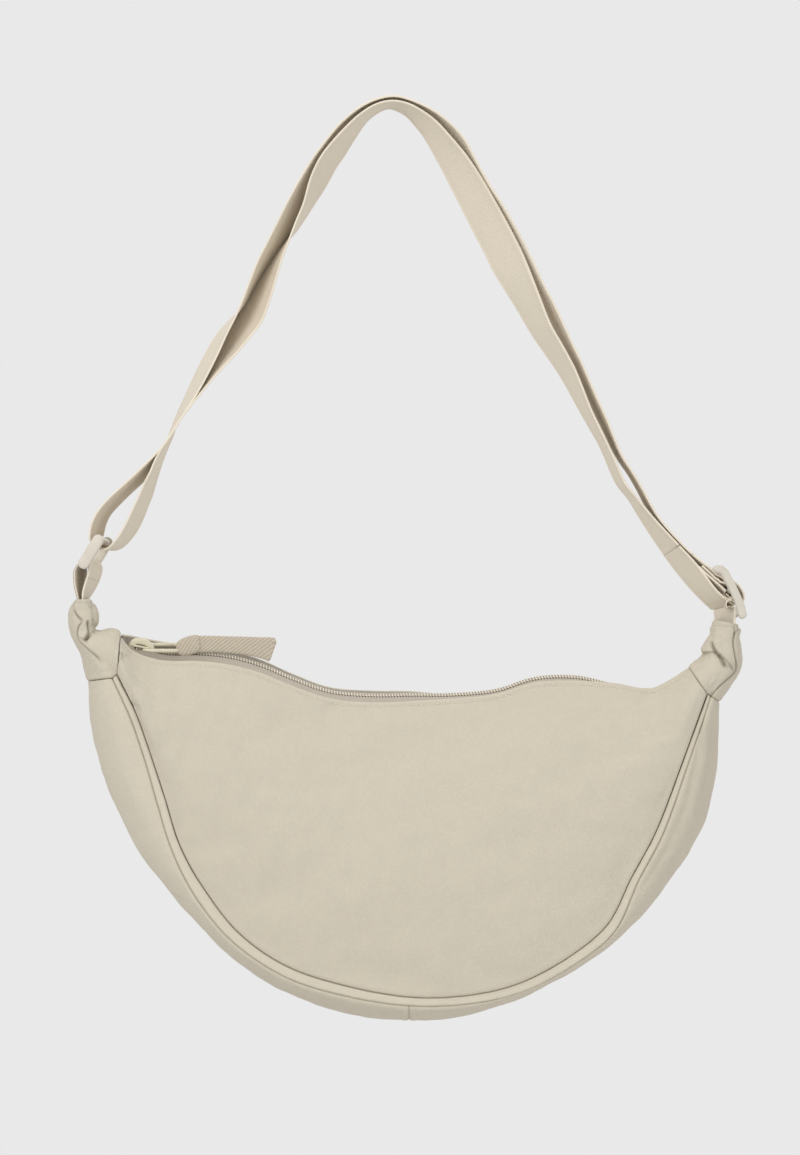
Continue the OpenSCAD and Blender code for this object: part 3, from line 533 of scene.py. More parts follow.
SHELL = woven("shell_cloth", (0.606, 0.551, 0.448), (0.520, 0.470, 0.377), (0.71, 0.655, 0.545), 0.0009,
              ("X", "Y"), 0.0018, 0.45, sheen=0.2)
HEM = woven("hem_cloth", (0.640, 0.585, 0.475), (0.580, 0.528, 0.425), (0.71, 0.655, 0.545), 0.0009,
            ("X", "Y"), 0.0016, 0.40, sheen=0.2)
WEBBING = woven("strap_cloth", (0.735, 0.660, 0.545), (0.675, 0.602, 0.490), (0.80, 0.73, 0.61), 0.0011,
                ("DIAGONAL",), 0.0006, 0.30, sheen=0.15)
PULL_CLOTH = woven("pull_cloth", (0.575, 0.505, 0.398), (0.160, 0.130, 0.095), (0.72, 0.65, 0.52), 0.0014,
                   ("DIAGONAL",), 0.0006, 0.8, sheen=0.1)
LINING = woven("lining_cloth", (0.42, 0.38, 0.31), (0.38, 0.34, 0.28), (0.46, 0.42, 0.35), 0.0008,
               ("X", "Y"), 0.0008, 0.3)
TAPE = woven("tape_cloth", (0.560, 0.505, 0.430), (0.440, 0.392, 0.330), (0.66, 0.605, 0.52), 0.0010,
             ("Y",), 0.0006, 0.6, sheen=0.1)
THREAD = woven("thread", (0.70, 0.65, 0.54), (0.60, 0.55, 0.45), (0.78, 0.73, 0.62), 0.0004,
               ("DIAGONAL",), 0.0004, 0.3)
COIL = woven("coil_plastic", (0.640, 0.585, 0.495), (0.600, 0.545, 0.460), (0.70, 0.645, 0.55), 0.0005,
             ("DIAGONAL",), 0.0006, 0.05, roughness=0.5, sheen=0.0)
PLASTIC = moulded("buckle_plastic", (0.610, 0.565, 0.480), (0.660, 0.615, 0.530), 0.42, bump=0.08)
PAINT = moulded("pull_paint", (0.610, 0.560, 0.415), (0.665, 0.615, 0.470), 0.34, coat=0.25, bump=0.05)
STOP = moulded("stop_paint", (0.590, 0.535, 0.450), (0.640, 0.585, 0.50), 0.6)


def finish_piece(o, material, body=None, replaces=()):
    o.data.materials.clear()
    o.data.materials.append(material)
    if body:
        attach(o, body)
    if replaces:
        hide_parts(*replaces)
    return o


# ---------------------------------------------------------------- camera, light and floor
def camera():
    far = 12.0
    data = bpy.data.cameras.new("camera")
    data.sensor_fit = "HORIZONTAL"
    data.sensor_width = 36.0
    data.lens = data.sensor_width * far / (PHOTO_W * BAG_HALF / PX_HALF * MM)
    data.clip_end = 60.0
    o = linked("camera", data)
    centre = px((PHOTO_W / 2, PHOTO_H / 2)) * MM
    o.location = (centre[0], -far, centre[1])
    o.rotation_euler = (math.pi / 2, 0, 0)
    bpy.context.scene.camera = o


def area(name, place, aim, size, power, colour=(1, 1, 1)):
    data = bpy.data.lights.new(name, "AREA")
    data.shape = "RECTANGLE"
    data.size, data.size_y = size
    data.energy = power
    data.color = colour
    o = linked(name, data)
    o.location = place
    d = np.array(aim) - np.array(place)
    o.rotation_euler = (math.atan2(math.hypot(d[0], d[1]), -d[2]), 0, math.atan2(d[0], -d[1]) + math.pi)


BACKDROP = 0.8148  # the photograph's background, as a linear value


def studio():
    scene = bpy.context.scene
    scene.view_settings.view_transform = "Standard"
    world = bpy.data.worlds.new("studio")
    scene.world = world
    world.use_nodes = True
    t = world.node_tree
    t.nodes.clear()
    path = add(t, "ShaderNodeLightPath")
    seen = maths(t, "MAXIMUM", path.outputs["Is Camera Ray"],
                 maths(t, "MAXIMUM", path.outputs["Is Glossy Ray"], path.outputs["Is Transmission Ray"]))
    show = add(t, "ShaderNodeBackground", Color=(BACKDROP,) * 3 + (1,), Strength=1.0)
    light = add(t, "ShaderNodeBackground", Color=(0.985, 0.99, 1.0, 1), Strength=0.62)
    mix = add(t, "ShaderNodeMixShader")
    t.links.new(seen, mix.inputs[0])
    t.links.new(light.outputs[0], mix.inputs[1])
    t.links.new(show.outputs[0], mix.inputs[2])
    t.links.new(mix.outputs[0], add(t, "ShaderNodeOutputWorld").inputs[0])
    aim = (0.01, 0, -0.38)
    area("key", (-1.5, -2.3, 1.1), aim, (1.6, 1.6), 38, (1.0, 0.985, 0.96))
    area("fill", (1.9, -2.0, -0.1), aim, (1.6, 1.8), 13, (0.97, 0.985, 1.0))
    area("top", (0.1, -0.2, 1.6), aim, (1.4, 1.2), 8)
    area("back", (0.6, 2.2, 0.7), aim, (1.8, 1.6), 12)

    bm = bmesh.new()
    bmesh.ops.create_circle(bm, cap_ends=True, segments=96, radius=1.0)
    me = bpy.data.meshes.new("floor")
    bm.to_mesh(me)
    bm.free()
    floor = linked("floor", me)
    floor.location = (0.01, 0, -0.71)
    m, t, bsdf = nodes_of("floor_paper")
    place = add(t, "ShaderNodeTexCoord").outputs["Object"]
    tone = mix_rgb(t, (0.79, 0.79, 0.79, 1), (0.815, 0.815, 0.815, 1), noise(t, place, 0.02))
    t.links.new(tone, bsdf.inputs["Base Color"])
    put(bsdf, Roughness=0.95, Specular_IOR_Level=0.1)
    me.materials.append(m)


# ---------------------------------------------------------------- the shell
SEAM_S = 9 / 17  # where the bottom seam lies, as a share of the outline
RUN_MM = 640.0  # the outline's length


def shell_rows(n=300):
    s = np.linspace(0, 1, n)
    near = np.array([0.25, 0.5, 0.8, 1.2, 1.7, 2.4, 3.4, 4.6, 6.0]) / RUN_MM
    s = np.concatenate([s, near, 1 - near, SEAM_S + near, SEAM_S - near, [SEAM_S]])
    s = np.unique(np.round(s, 6))
    return s[np.concatenate([[True], np.diff(s) > 0.00025])]


NEAR = np.array([0, 0.25, 0.5, 0.8, 1.15, 1.6, 2.2, 3.0, 4.0, 5.4, 7.2])

# Soft dents and folds of the body, drawn in the picture
BODY_STROKES = [
    ([(124, 655), (131, 668), (140, 684)], 0.9, 4.5),
    ([(131, 702), (136, 704), (142, 708)], 0.5, 1.6, 0.4, 4, 0.03),
    ([(150, 664), (190, 690), (236, 716)], 0.8, 9.0),
    ([(325, 704), (334, 730), (350, 770)], 1.2, 11.0),
    ([(640, 694), (655, 712), (662, 740)], 1.1, 9.0),
    ([(500, 698), (470, 730), (452, 780)], 0.7, 12.0),
    ([(250, 690), (290, 730), (330, 800)], 0.6, 13.0, 0, 0, 0.0, -1),
    ([(690, 676), (676, 700), (668, 730)], 0.7, 5.0),
]
GUSSET_STROKES = [
    ([(703, 712), (697, 760), (684, 812), (660, 862), (640, 892)], 1.1, 2.6, 0.5, 6, 0.05),
    ([(711, 722), (707, 770), (694, 818)], 0.5, 2.0, 0, 0, 0.03),
    ([(103, 700), (112, 760), (136, 820), (170, 868)], 0.5, 4.0),
    ([(540, 990), (590, 962), (640, 920)], 0.4, 3.0),
]


def end_fall(s, depth=0.5, width=0.8):
    """How far the cloth falls towards the tab seams, and how much painted shade lies in that fall."""
    d = np.minimum(s, 1 - s) * RUN_MM
    return depth * bell(d, width), bell(d, 0.7)


def panel(side):
    s = shell_rows()
    length = panel_length(side, s)
    reach = np.minimum(NEAR[-1] / length, 0.4)
    low = 1 - (NEAR[None, ::-1] / NEAR[-1]) * reach[:, None]
    top = (NEAR[None, :] / NEAR[-1]) * reach[:, None]
    mid = lerp(top[:, -1:], low[:, :1], np.linspace(0, 1, 38)[None, 1:-1])
    v = np.concatenate([top, mid, low], 1)
    P = panel_pt(side, s, v)
    N = grid_normals(P, side)
    to_low = (1 - v) * length[:, None]
    to_top = v * length[:, None]
    fall, end_shade = end_fall(s)
    h = -0.75 * bell(to_low, 0.6) + 0.35 * bell(to_low - 3.2, 2.2)
    h += -0.5 * bell(to_top, 0.4) - 0.35 * bell(to_top - ZIP_ROW, 0.5)
    h += 0.25 * bell(to_top - 1.6, 1.2)
    inside = smooth(np.minimum(to_low, to_top) / 14)
    h += inside * (0.55 * ripple(P, 46, 3 + side) + 0.20 * ripple(P, 17, 7 + side))
    h += 0.08 * ripple(P, 6.5, 11 + side) * smooth(np.minimum(to_low, to_top) / 3)
    pucker = bell(to_top, 6) * (1 - bell(to_top, 1.2))
    h += 0.12 * pucker * np.sin(2 * np.pi * (s * RUN_MM)[:, None] / 7.3 + ripple(P, 30, 5))
    h -= fall[:, None]
    # painted shade in the groove along the seam, in the stitch holes along the zip and where the cloth falls into
    # the tab seams; a little lighter along the zip edge
    shade = 1 - 0.28 * bell(to_low, 0.45) - 0.07 * bell(to_low, 1.6)
    hole_shade = 0.5 + 0.5 * np.cos(2 * np.pi * (s * RUN_MM)[:, None] / ZIP_ROW_PITCH)
    shade *= 1 - 0.10 * bell(to_top - ZIP_ROW, 0.55) * hole_shade
    shade *= 1 - 0.22 * end_shade[:, None]
    shade *= 1 + 0.05 * bell(to_top, 1.3)
    P = P + N * h[..., None]
    P, shade = carve(P, N, shade, BODY_STROKES, (side,))
    inner = P - N * FABRIC_T
    o = slab("panel_front" if side < 0 else "panel_back", P, inner, shade)
    return o, P, N, to_top


def channel(side):
    s = shell_rows()
    v = np.linspace(0, 1, 17)[None, :] + 0 * s[:, None]
    P = channel_pt(side, s, v)
    N = grid_normals(P, side)
    w = np.linalg.norm(P[:, -1] - P[:, 0], axis=-1)[:, None]
    a, b = v * w, (1 - v) * w
    edge = np.minimum(a, b)
    fall, end_shade = end_fall(s)
    h = 0.6 * (1 - bell(edge, 0.85)) - 0.55 * bell(edge, 0.45)
    h += 0.14 * ripple(P, 9, 21) + 0.07 * ripple(P, 4, 22)
    ridge, right = bell(a - 1.5, 0.4), smooth((s[:, None] - 0.5) / 0.1)
    h -= 0.22 * ridge * right
    h -= fall[:, None]
    # painted shade in the grooves along both edges, in the small groove beside one edge and where the cloth falls
    # into the tab seams
    shade = 1 - 0.28 * bell(a, 0.45) - 0.24 * bell(b, 0.4)
    shade *= 1 - 0.08 * ridge * right
    shade *= 1 - 0.2 * end_shade[:, None]
    P = P + N * h[..., None]
    return slab("seam_front" if side < 0 else "seam_back", P, P - N * FABRIC_T, shade)


def gusset():
    s = shell_rows()
    q = np.concatenate([NEAR[:9] / 60, np.linspace(NEAR[8] / 60, 1 - NEAR[8] / 60, 44)[1:-1],
                        1 - NEAR[8::-1] / 60])
    a = q[None, :] + 0 * s[:, None]
    P = gusset_pt(s, a)
    N = grid_normals(P, -1)
    run = np.concatenate([np.zeros((len(s), 1)), np.cumsum(np.linalg.norm(np.diff(P, axis=1), axis=-1), 1)], 1)
    d = np.minimum(run, run[:, -1:] - run)
    fall, end_shade = end_fall(s)
    h = -0.7 * bell(d, 0.6) + 0.3 * bell(d - 2.6, 1.6)
    inside = smooth(d / 10)
    h += inside * (0.28 * ripple(P, 34, 31) + 0.08 * ripple(P, 13, 32)) + 0.05 * ripple(P, 6, 33) * smooth(d / 3)
    seam = (s - SEAM_S)[:, None] * RUN_MM
    h += -0.6 * bell(seam, 0.6) + 0.35 * bell(np.abs(seam) - 2.4, 1.5)
    h -= 0.3 * bell(np.abs(seam) - BOTTOM_ROW, 0.5)
    h -= fall[:, None]
    # painted shade in the grooves along the edges, in the bottom seam and where the cloth falls into the tab seams;
    # painted light on the left part, where the lamp falls
    shade = 1 - 0.3 * bell(d, 0.45)
    shade = shade * (1 - 0.18 * bell(seam, 0.5)) * (1 + 0.045 * smooth((0.42 - s) / 0.2)[:, None])
    shade *= 1 - 0.2 * end_shade[:, None]
    P = P + N * h[..., None]
    P, shade = carve(P, N, shade, GUSSET_STROKES)
    return slab("gusset", P, P - N * FABRIC_T, shade), P, N, seam


def stitches(name, places, dirs, normals, length, width):
    """A row of short threads lying on the cloth."""
    verts, faces = [], []
    k = 8
    for p, d, n in zip(places, dirs, normals):
        d, n = d / np.linalg.norm(d), n / np.linalg.norm(n)
        b = np.cross(n, d)
        base = len(verts)
        for t, r, up in ((-1, 0.35, -0.2), (-0.7, 0.85, 0.12), (0, 1, 0.3), (0.7, 0.85, 0.12), (1, 0.35, -0.2)):
            c = p + d * t * length / 2 + n * up * width
            for i in range(k):
                g = 2 * math.pi * i / k
                verts.append(c + (b * math.cos(g) + n * math.sin(g) * 0.7) * r * width / 2)
        for i in range(4):
            for j in range(k):
                l = (j + 1) % k
                faces.append((base + i * k + j, base + i * k + l, base + (i + 1) * k + l, base + (i + 1) * k + j))
        faces.append(tuple(base + j for j in range(k - 1, -1, -1)))
        faces.append(tuple(base + 4 * k + j for j in range(k)))
    verts = np.array(verts)
    return mesh_object(name, verts, faces, np.ones(len(verts)), verts[:, [0, 2]])


def row_on(N, line, pitch, height, start=0.0, end=1.0):
    """Evenly spaced stitch places along a run of points on a surface."""
    run = run_of(line)
    spots = np.arange(run[-1] * start + pitch / 2, run[-1] * end, pitch)
    ahead = sample(spots + 0.5, run, line) - sample(spots - 0.5, run, line)
    n = sample(spots, run, N)
    return sample(spots, run, line) + unit(n) * height, ahead, n


def build_shell():
    for side, name in ((-1, "front"), (1, "back")):
        o, P, N, to_top = panel(side)
        finish_piece(o, SHELL, "bag", [f"{name}_panel"])
        j = np.argmin(np.abs(to_top - ZIP_ROW), axis=1)
        i = np.arange(len(j))
        st = stitches(f"stitches_{name}", *row_on(N[i, j], P[i, j], ZIP_ROW_PITCH, 0.05, 0.15, 0.985), 2.3, 0.7)
        finish_piece(st, THREAD, "bag")
        finish_piece(channel(side), HEM, "bag", [f"{name}_seam"])
        lining(side, name)
    g, P, N, seam = gusset()
    finish_piece(g, SHELL, "bag", ["gusset_left", "gusset_right"])
    parts = []
    for off in (-BOTTOM_ROW, BOTTOM_ROW):
        i = np.argmin(np.abs(seam[:, 0] - off))
        parts.append(stitches("row", *row_on(N[i], P[i], 3.0, 0.0, 0.04, 0.96), 2.0, 0.5))
    finish_piece(join("stitches_bottom", parts), THREAD, "bag")


def lining(side, name):
    s = np.linspace(0.04, 0.96, 60)
    q = np.linspace(0.05, 0.995, 30)[None, :] + 0 * s[:, None]
    p = panel_pt(side, s, np.clip(q / 0.5, 0, 1))
    c = channel_pt(side, s, np.clip((q - 0.5) / 0.1, 0, 1))
    a = np.clip((q - 0.6) / 0.8, 0, 0.5)
    g = gusset_pt(s, a if side < 0 else 1 - a)
    P = np.where((q < 0.5)[..., None], p, np.where((q < 0.6)[..., None], c, g))
    N = grid_normals(P, side)
    depth = 3.4 + 0.25 * ripple(P, 18, 41)
    top = P - N * depth[..., None]
    o = slab(f"inner_{name}", top, top - N * 0.8, np.ones(top.shape[:2]))
    finish_piece(o, LINING, "bag", [f"lining_{name}"])


# ---------------------------------------------------------------- the tabs
def end_ring(s, q):
    """The body's end as a ring: 0 over the zip, a quarter the front, a half the outer side."""
    out = []
    for x in q:
        h, side = (x, -1) if x < 0.5 else (1 - x, 1)
        one = np.array([s])
        if h < 0.06:
            p = lerp(coil_pt(one)[0], panel_pt(side, one, np.zeros((1, 1)))[0, 0], h / 0.06)
        elif h < 0.3:
            p = panel_pt(side, one, np.full((1, 1), (h - 0.06) / 0.24))[0, 0]
        else:
            a = (h - 0.3) / 0.4
            p = gusset_pt(one, np.full((1, 1), a if side < 0 else 1 - a))[0, 0]
        out.append(p)
    return np.array(out)


LEFT_STROKES = [
    ([(72.8, 604), (74.5, 610), (78, 616), (82.4, 621), (79, 627), (77.6, 635), (80.7, 642.3), (92, 652.5),
      (106, 665), (115, 676), (124, 688)], 1.1, 0.6, 0.5, 3.5, 0.45),
    ([(87.5, 620), (88.7, 627), (89.2, 633.5), (87.3, 637.5), (84, 641)], 2.4, 1.25, -1.7, 4.0, 0.42),
    ([(95, 630.6), (90.5, 634.5), (84.5, 641)], 1.0, 1.0, -0.7, 4.0, 0.12),
    ([(91.5, 604), (93.8, 612), (94.6, 620), (93.6, 627)], 0.8, 0.8, 0.9, 4.0, 0.12),
    ([(93, 619), (94.4, 621)], 0.5, 0.6, 0, 0, 0.35),
    ([(75.5, 603), (72.5, 612), (71.5, 622)], 0.35, 1.2, 0.4, 3.0, 0.0),
    ([(93, 635), (102, 647), (112, 658)], 0.5, 3.2),
    ([(84, 655), (92, 668), (100, 678)], 0.4, 3.0),
]
RIGHT_STROKES = [
    ([(733, 624), (734.6, 632), (733, 642), (734.6, 654.6), (736.3, 666), (735, 672), (725.6, 681), (717.5, 688.3),
      (711, 696), (704, 704)], 1.1, 0.6, 0.5, 3.0, 0.45),
    ([(739.5, 627), (734, 635)], 0.8, 0.7, 0.4, 3.0, 0.2),
    ([(711, 641), (713.2, 648), (716, 653), (721, 658.5), (726, 668.5)], 2.6, 1.3, 1.9, 5.5, 0.50),
    ([(717, 653.5), (724, 659.5), (729, 664.5), (734, 671.5)], 1.3, 0.9, -0.6, 4.0, 0.25),
    ([(702, 653.5), (708, 652.6), (715.5, 652)], 1.1, 0.9, 1.1, 5.0, 0.15),
    ([(713, 623), (711.5, 632), (713, 640)], 0.4, 1.5, 0.4, 3.0, 0.0),
    ([(721, 622), (723, 632), (722, 640)], 0.3, 1.2, 0.3, 3.0, 0.0),
    ([(694, 668), (704, 672), (712, 682)], 0.5, 3.0),
]


def tab(name, table, s_end, strokes):
    rows, sides = 130, 220
    q = np.arange(sides) / sides
    base = end_ring(s_end, q)
    under = end_ring(abs(s_end - 0.011), q)
    under = under + unit(under.mean(0) - under) * 1.9
    edges = np.concatenate([px(table[:, :2]), px(table[:, 2:4]), table[:, 4:]], 1)
    first = (edges[0, :2] + edges[0, 2:4]) / 2
    rings = []
    for k in np.linspace(0, 1, rows):
        row = at(edges, k)[0]
        mix = smooth(k * (len(table) - 1) / 2.6)
        depth = lerp((WEB_W + 2 * FABRIC_T + 2) / 2, SEAM_DEPTH / 2 * END_DEPTH_SHARE, row[4])
        m, h = (row[:2] + row[2:4]) / 2, (row[2:4] - row[:2]) / 2
        square = smooth(1 - row[4])
        c, z = np.cos(2 * np.pi * q), np.sin(2 * np.pi * q)
        c2, z2 = lerp(c, squared(c, 0.6), square), lerp(z, squared(z, 0.6), square)
        flat = m + h * c2[:, None]
        oval = np.stack([flat[:, 0], -depth * z2, flat[:, 1]], 1)
        rings.append(lerp(base + np.array([m[0] - first[0], 0, m[1] - first[1]]), oval, mix))
    P = np.array(rings)
    C = P.mean(1, keepdims=True)
    du = np.gradient(P, axis=0)
    dv = np.roll(P, -1, 1) - np.roll(P, 1, 1)
    N = unit(np.cross(du, dv))
    if ((P - C) * N).sum() < 0:
        N = -N
    k = np.linspace(0, 1, rows)[:, None]
    inside = smooth(np.minimum(k / 0.12, (1 - k) / 0.06))
    h = inside * (0.16 * ripple(P, 14, 51) + 0.07 * ripple(P, 5, 52))
    run = np.concatenate([[0], np.cumsum(np.linalg.norm(np.diff(P, axis=0), axis=-1).mean(1))])[:, None]
    end = run[-1] - run
    h += -0.55 * bell(run, 0.6) + 0.2 * bell(run - 2.4, 1.4)
    h += -0.25 * bell(run - TAB_ROW, 0.5)
    gather = bell(end, 5.0)
    h += -0.3 * bell(end, 0.5) - 0.35 * bell(end - MOUTH_ROW, 0.5)
    h += 0.16 * gather * np.sin(2 * np.pi * q * 26)[None, :]
    # painted shade in the seam groove at the body and along the stitch row at the mouth
    shade = 1 - 0.26 * bell(run, 0.5) - 0.08 * bell(end - MOUTH_ROW, 0.5) + 0 * P[..., 0]
    P = P + N * h[..., None]
    P, shade = carve(P, N, shade, strokes)
    wall = np.minimum(FABRIC_T, np.linalg.norm(P - C, axis=-1, keepdims=True) * 0.4)
    inner = P - unit(P - C) * wall
    hem = P[:1] - unit(P[:1] - C[:1]) * 1.2
    tucked = unit(C[:1] - under[None])
    P = np.concatenate([under[None], lerp(under[None], hem, 0.7), P])
    inner = np.concatenate([under[None] + tucked, lerp(under[None], hem, 0.7) + tucked, inner])
    # painted shade on the hem tucked under the body
    shade = np.concatenate([shade[:1] * 0.6, shade[:1] * 0.7, shade])
    run = np.concatenate([[[-4.0], [-1.5]], run])
    end = np.concatenate([[[99.0], [98.0]], end])
    N = np.concatenate([N[:1], N[:1], N])
    n, m = P.shape[:2]
    o = n * m
    i, j = np.meshgrid(np.arange(n - 1), np.arange(m), indexing="ij")
    l = (j + 1) % m
    a, b, c, d = i * m + j, i * m + l, (i + 1) * m + l, (i + 1) * m + j
    faces = [np.stack([a, b, c, d], -1).reshape(-1, 4), np.stack([o + a, o + d, o + c, o + b], -1).reshape(-1, 4)]
    j = np.arange(m)
    l = (j + 1) % m
    e = (n - 1) * m
    faces += [np.stack([j, o + j, o + l, l], 1), np.stack([e + j, e + l, o + e + l, o + e + j], 1)]
    faces = np.concatenate(faces)
    uv = np.stack(np.broadcast_arrays(run, np.linspace(0, 100, m)[None, :]), -1)
    t = mesh_object(name, np.concatenate([P.reshape(-1, 3), inner.reshape(-1, 3)]), faces,
                    np.concatenate([shade.ravel()] * 2), np.concatenate([uv, uv]))
    rows_st = []
    for off, pitch, from_edge in ((MOUTH_ROW, 2.6, end), (TAB_ROW, 3.0, run)):
        idx = np.argmin(np.abs(from_edge - off))
        row = row_on(closed(N[idx]), closed(P[idx]), pitch, 0.05)
        rows_st.append(stitches("row", *row, 1.8, 0.55))
    return t, join(f"stitches_{name}", rows_st)


def build_tabs():
    for name, node, table, s_end, strokes in (
            ("tab_left", "end_tab_left", TAB_LEFT, 0.0, LEFT_STROKES),
            ("tab_right", "end_tab_right", TAB_RIGHT, 1.0, RIGHT_STROKES)):
        t, st = tab(name, table, s_end, strokes)
        finish_piece(t, SHELL, "bag", [node])
        finish_piece(st, THREAD, "bag")


# ---------------------------------------------------------------- the zip
def build_zip():
    for side, name in ((-1, "front"), (1, "back")):
        s = np.linspace(0.012, 0.988, 300)
        top_v = 5.0 / panel_length(side, s)
        v = np.stack([top_v, top_v * 0.5, 0 * top_v], 1)
        P = panel_pt(side, s, v)
        N = grid_normals(P, -side)
        under = P - N * (FABRIC_T + LIE)
        shelf = coil_pt(s)
        cols = [shelf + np.array([0, side * y, 0]) for y in (5.6, 4.6, 3.6, 2.6, 1.7, 0.9)]
        top = np.stack([under[:, 0], under[:, 1], under[:, 2]] + cols, 1)
        inner_dir = np.stack([N[:, 0], N[:, 1], unit(N[:, 2] + np.array([0, 0, 1.0]))]
                             + [np.tile(np.array([0, 0, 1.0]), (len(s), 1))] * 6, 1)
        # darker towards the left end; the shelf columns by the coil are painted lighter, a painted highlight over
        # the shade of the gap
        dim = lerp(0.62, 0.9, smooth((s - 0.14) / 0.2)).reshape(-1, 1)
        o = slab(f"tape_{name}", top, top - inner_dir * 0.8, dim * np.array([1] * 4 + [1.1] + [1.15] * 4))
        finish_piece(o, TAPE, "bag", [f"zip_tape_{name}"])
        finish_piece(teeth(side, name), COIL, "bag", [f"zip_coil_{name}"])


def teeth(side, name):
    """One half of the coil: a loop of filament for each tooth."""
    line = coil_pt(np.linspace(0.077, 0.972, 1200))
    run = run_of(line)
    pitch, turn_n = 1.85, 8
    count = int(run[-1] / pitch)
    t = np.arange(count * turn_n + 1) / turn_n
    spot = t * pitch + (0 if side < 0 else pitch / 2)
    c = sample(spot, run, line)
    d = unit(sample(spot + 1, run, line) - c + 1e-9)
    up = unit(np.cross(d, Y_AXIS) * -1)
    up = np.where(up[:, 2:3] < 0, -up, up)
    ang = 2 * np.pi * t
    y = COIL_W * (0.56 - 0.40 * np.cos(ang))
    z = COIL_H * (0.42 + 0.40 * np.sin(ang))
    path = c + up * z[:, None] + Y_AXIS * (side * y)[:, None]
    tangent = unit(np.gradient(path, axis=0))
    outward = unit(np.cross(tangent, d))
    k = 6
    rings = circles(path, outward, np.cross(tangent, outward), 0.46, k)
    # painted light and shade on each turn of the filament: darker on its inner side, lighter on its outer side
    o = sweep(f"coil_{name}", rings, np.repeat(0.98 - 0.38 * np.cos(ang), k))
    cord = []
    for i in range(0, len(c), 6):
        centre = c[i] + up[i] * COIL_H * 0.38 + np.array([0, side * COIL_W * 0.56, 0])
        cord.append([centre + 0.5 * (up[i] * math.cos(a) + Y_AXIS * math.sin(a)) for a in circle(k)])
    core = sweep("core", np.array(cord), np.ones(len(cord) * k))
    return join(f"coil_{name}", [o, core])


# ---------------------------------------------------------------- webbing
def web_section(w, t):
    """A webbing's cross-section: flat, with rounded edges and a slightly raised selvedge."""
    xs = np.array([-1, -0.985, -0.95, -0.9, -0.84, -0.4, 0, 0.4, 0.84, 0.9, 0.95, 0.985, 1]) * w / 2
    th = np.array([0.28, 0.75, 1.0, 1.0, 0.86, 0.9, 0.9, 0.9, 0.86, 1.0, 1.0, 0.75, 0.28]) * t / 2
    top = np.stack([xs, th], 1)
    bottom = np.stack([xs[::-1], -th[::-1]], 1)
    return np.concatenate([top, bottom])


def edge_shade(n):
    # painted highlight along the webbing's edges, with a little painted shade just inside them
    xs = np.array([1.12, 1.11, 1.08, 1.06, 0.97, 1, 1, 1, 0.97, 1.06, 1.08, 1.11, 1.12])
    return np.tile(np.concatenate([xs, xs[::-1]]), n)


def band(rows, off=0.0):
    """Places, widths and offsets of a webbing from its front and back edges in the photograph."""
    fine = dense(rows, 8 * len(rows))
    f, b = px(fine[:, :2]), px(fine[:, 2:4])
    mid, half = (f + b) / 2, (f - b) / 2
    deep = np.sqrt(np.maximum((WEB_W / 2) ** 2 - (half ** 2).sum(1), 9.0))
    wide = unit(np.stack([half[:, 0], -deep, half[:, 1]], 1))
    return np.stack([mid[:, 0], 0 * mid[:, 0], mid[:, 1]], 1), wide, np.full(len(fine), float(off))


def frame_at(place, y, z):
    """A ring's or adjuster's frame: its middle, across, deep and along."""
    z = unit(np.array(z, float))
    y = np.array(y, float)
    y = unit(y - z * (y @ z))
    return np.array(place, float), np.cross(y, z), y, z


def frame_path(f, path):
    """Places, widths and offsets of a webbing along a flat path of [x, z] in a ring's or adjuster's frame."""
    path = np.asarray(path, float)
    p = f[0] + path[:, :1] * f[1] + path[:, 1:] * f[3]
    p[:, 1] = 0
    return p, np.tile(-f[2], (len(path), 1)), np.zeros(len(path))


def bend(c, r, a, b, n):
    g = np.radians(np.linspace(a, b, n + 1))
    return np.stack([c[0] + r * np.cos(g), c[1] + r * np.sin(g)], 1)


def resample(parts, step, rounds=3):
    """Joins stretches of a webbing into one, evenly and smoothly: places, widths and thickness directions."""
    p, w, off = (np.concatenate([q[i] for q in parts]) for i in range(3))
    run = run_of(p)
    keep = np.concatenate([[True], np.diff(run) > 1e-4])
    p, w, off, run = p[keep], w[keep], off[keep], run[keep]
    spots = np.linspace(0, run[-1], int(run[-1] / step) + 2)
    out = []
    for a in (p, w, off[:, None]):
        b = sample(spots, run, a)
        for _ in range(rounds):
            b[1:-1] = 0.25 * b[:-2] + 0.5 * b[1:-1] + 0.25 * b[2:]
        out.append(b)
    p, w, off = out
    d = unit(np.gradient(p, axis=0))
    w = unit(w - d * (w * d).sum(1, keepdims=True))
    t = np.cross(w, d)
    return p + t * off, w, t


def ribbon(p, w, t, thick=THIN):
    sec = web_section(WEB_W, thick)
    return p[:, None] + w[:, None] * sec[None, :, :1] + t[:, None] * sec[None, :, 1:]


def web_piece(name, parts, body, replaces=(), step=0.8, rounds=2):
    rings = ribbon(*resample(parts, step, rounds))
    return finish_piece(sweep(name, rings, edge_shade(len(rings))), WEBBING, body, replaces)


def ride_blend(o):
    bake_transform(o)


RING_F = frame_at((-181.2, 0, -276.2), (0.22, 0.95, 0.10), (0.526, -0.04, 0.85))
SLIDER_F = frame_at((-157.967, 0, -344.847), (0, 1, 0), (math.sin(0.1736), 0, math.cos(0.1736)))
SLIDE_F = frame_at((211.2, 0, -309.6), (-0.31, 0.935, -0.17), (-0.5, 0.0, 0.866))
BAR_R = BAR_D / 2 + LIE + THIN / 2
SEWN_R = MID_BAR_D / 2 + LIE + THIN / 2
TOP_BAR, MID_BAR, LOW_BAR = (1.6, 14.6), (1.0, 0.0), (-1.4, -14.8)


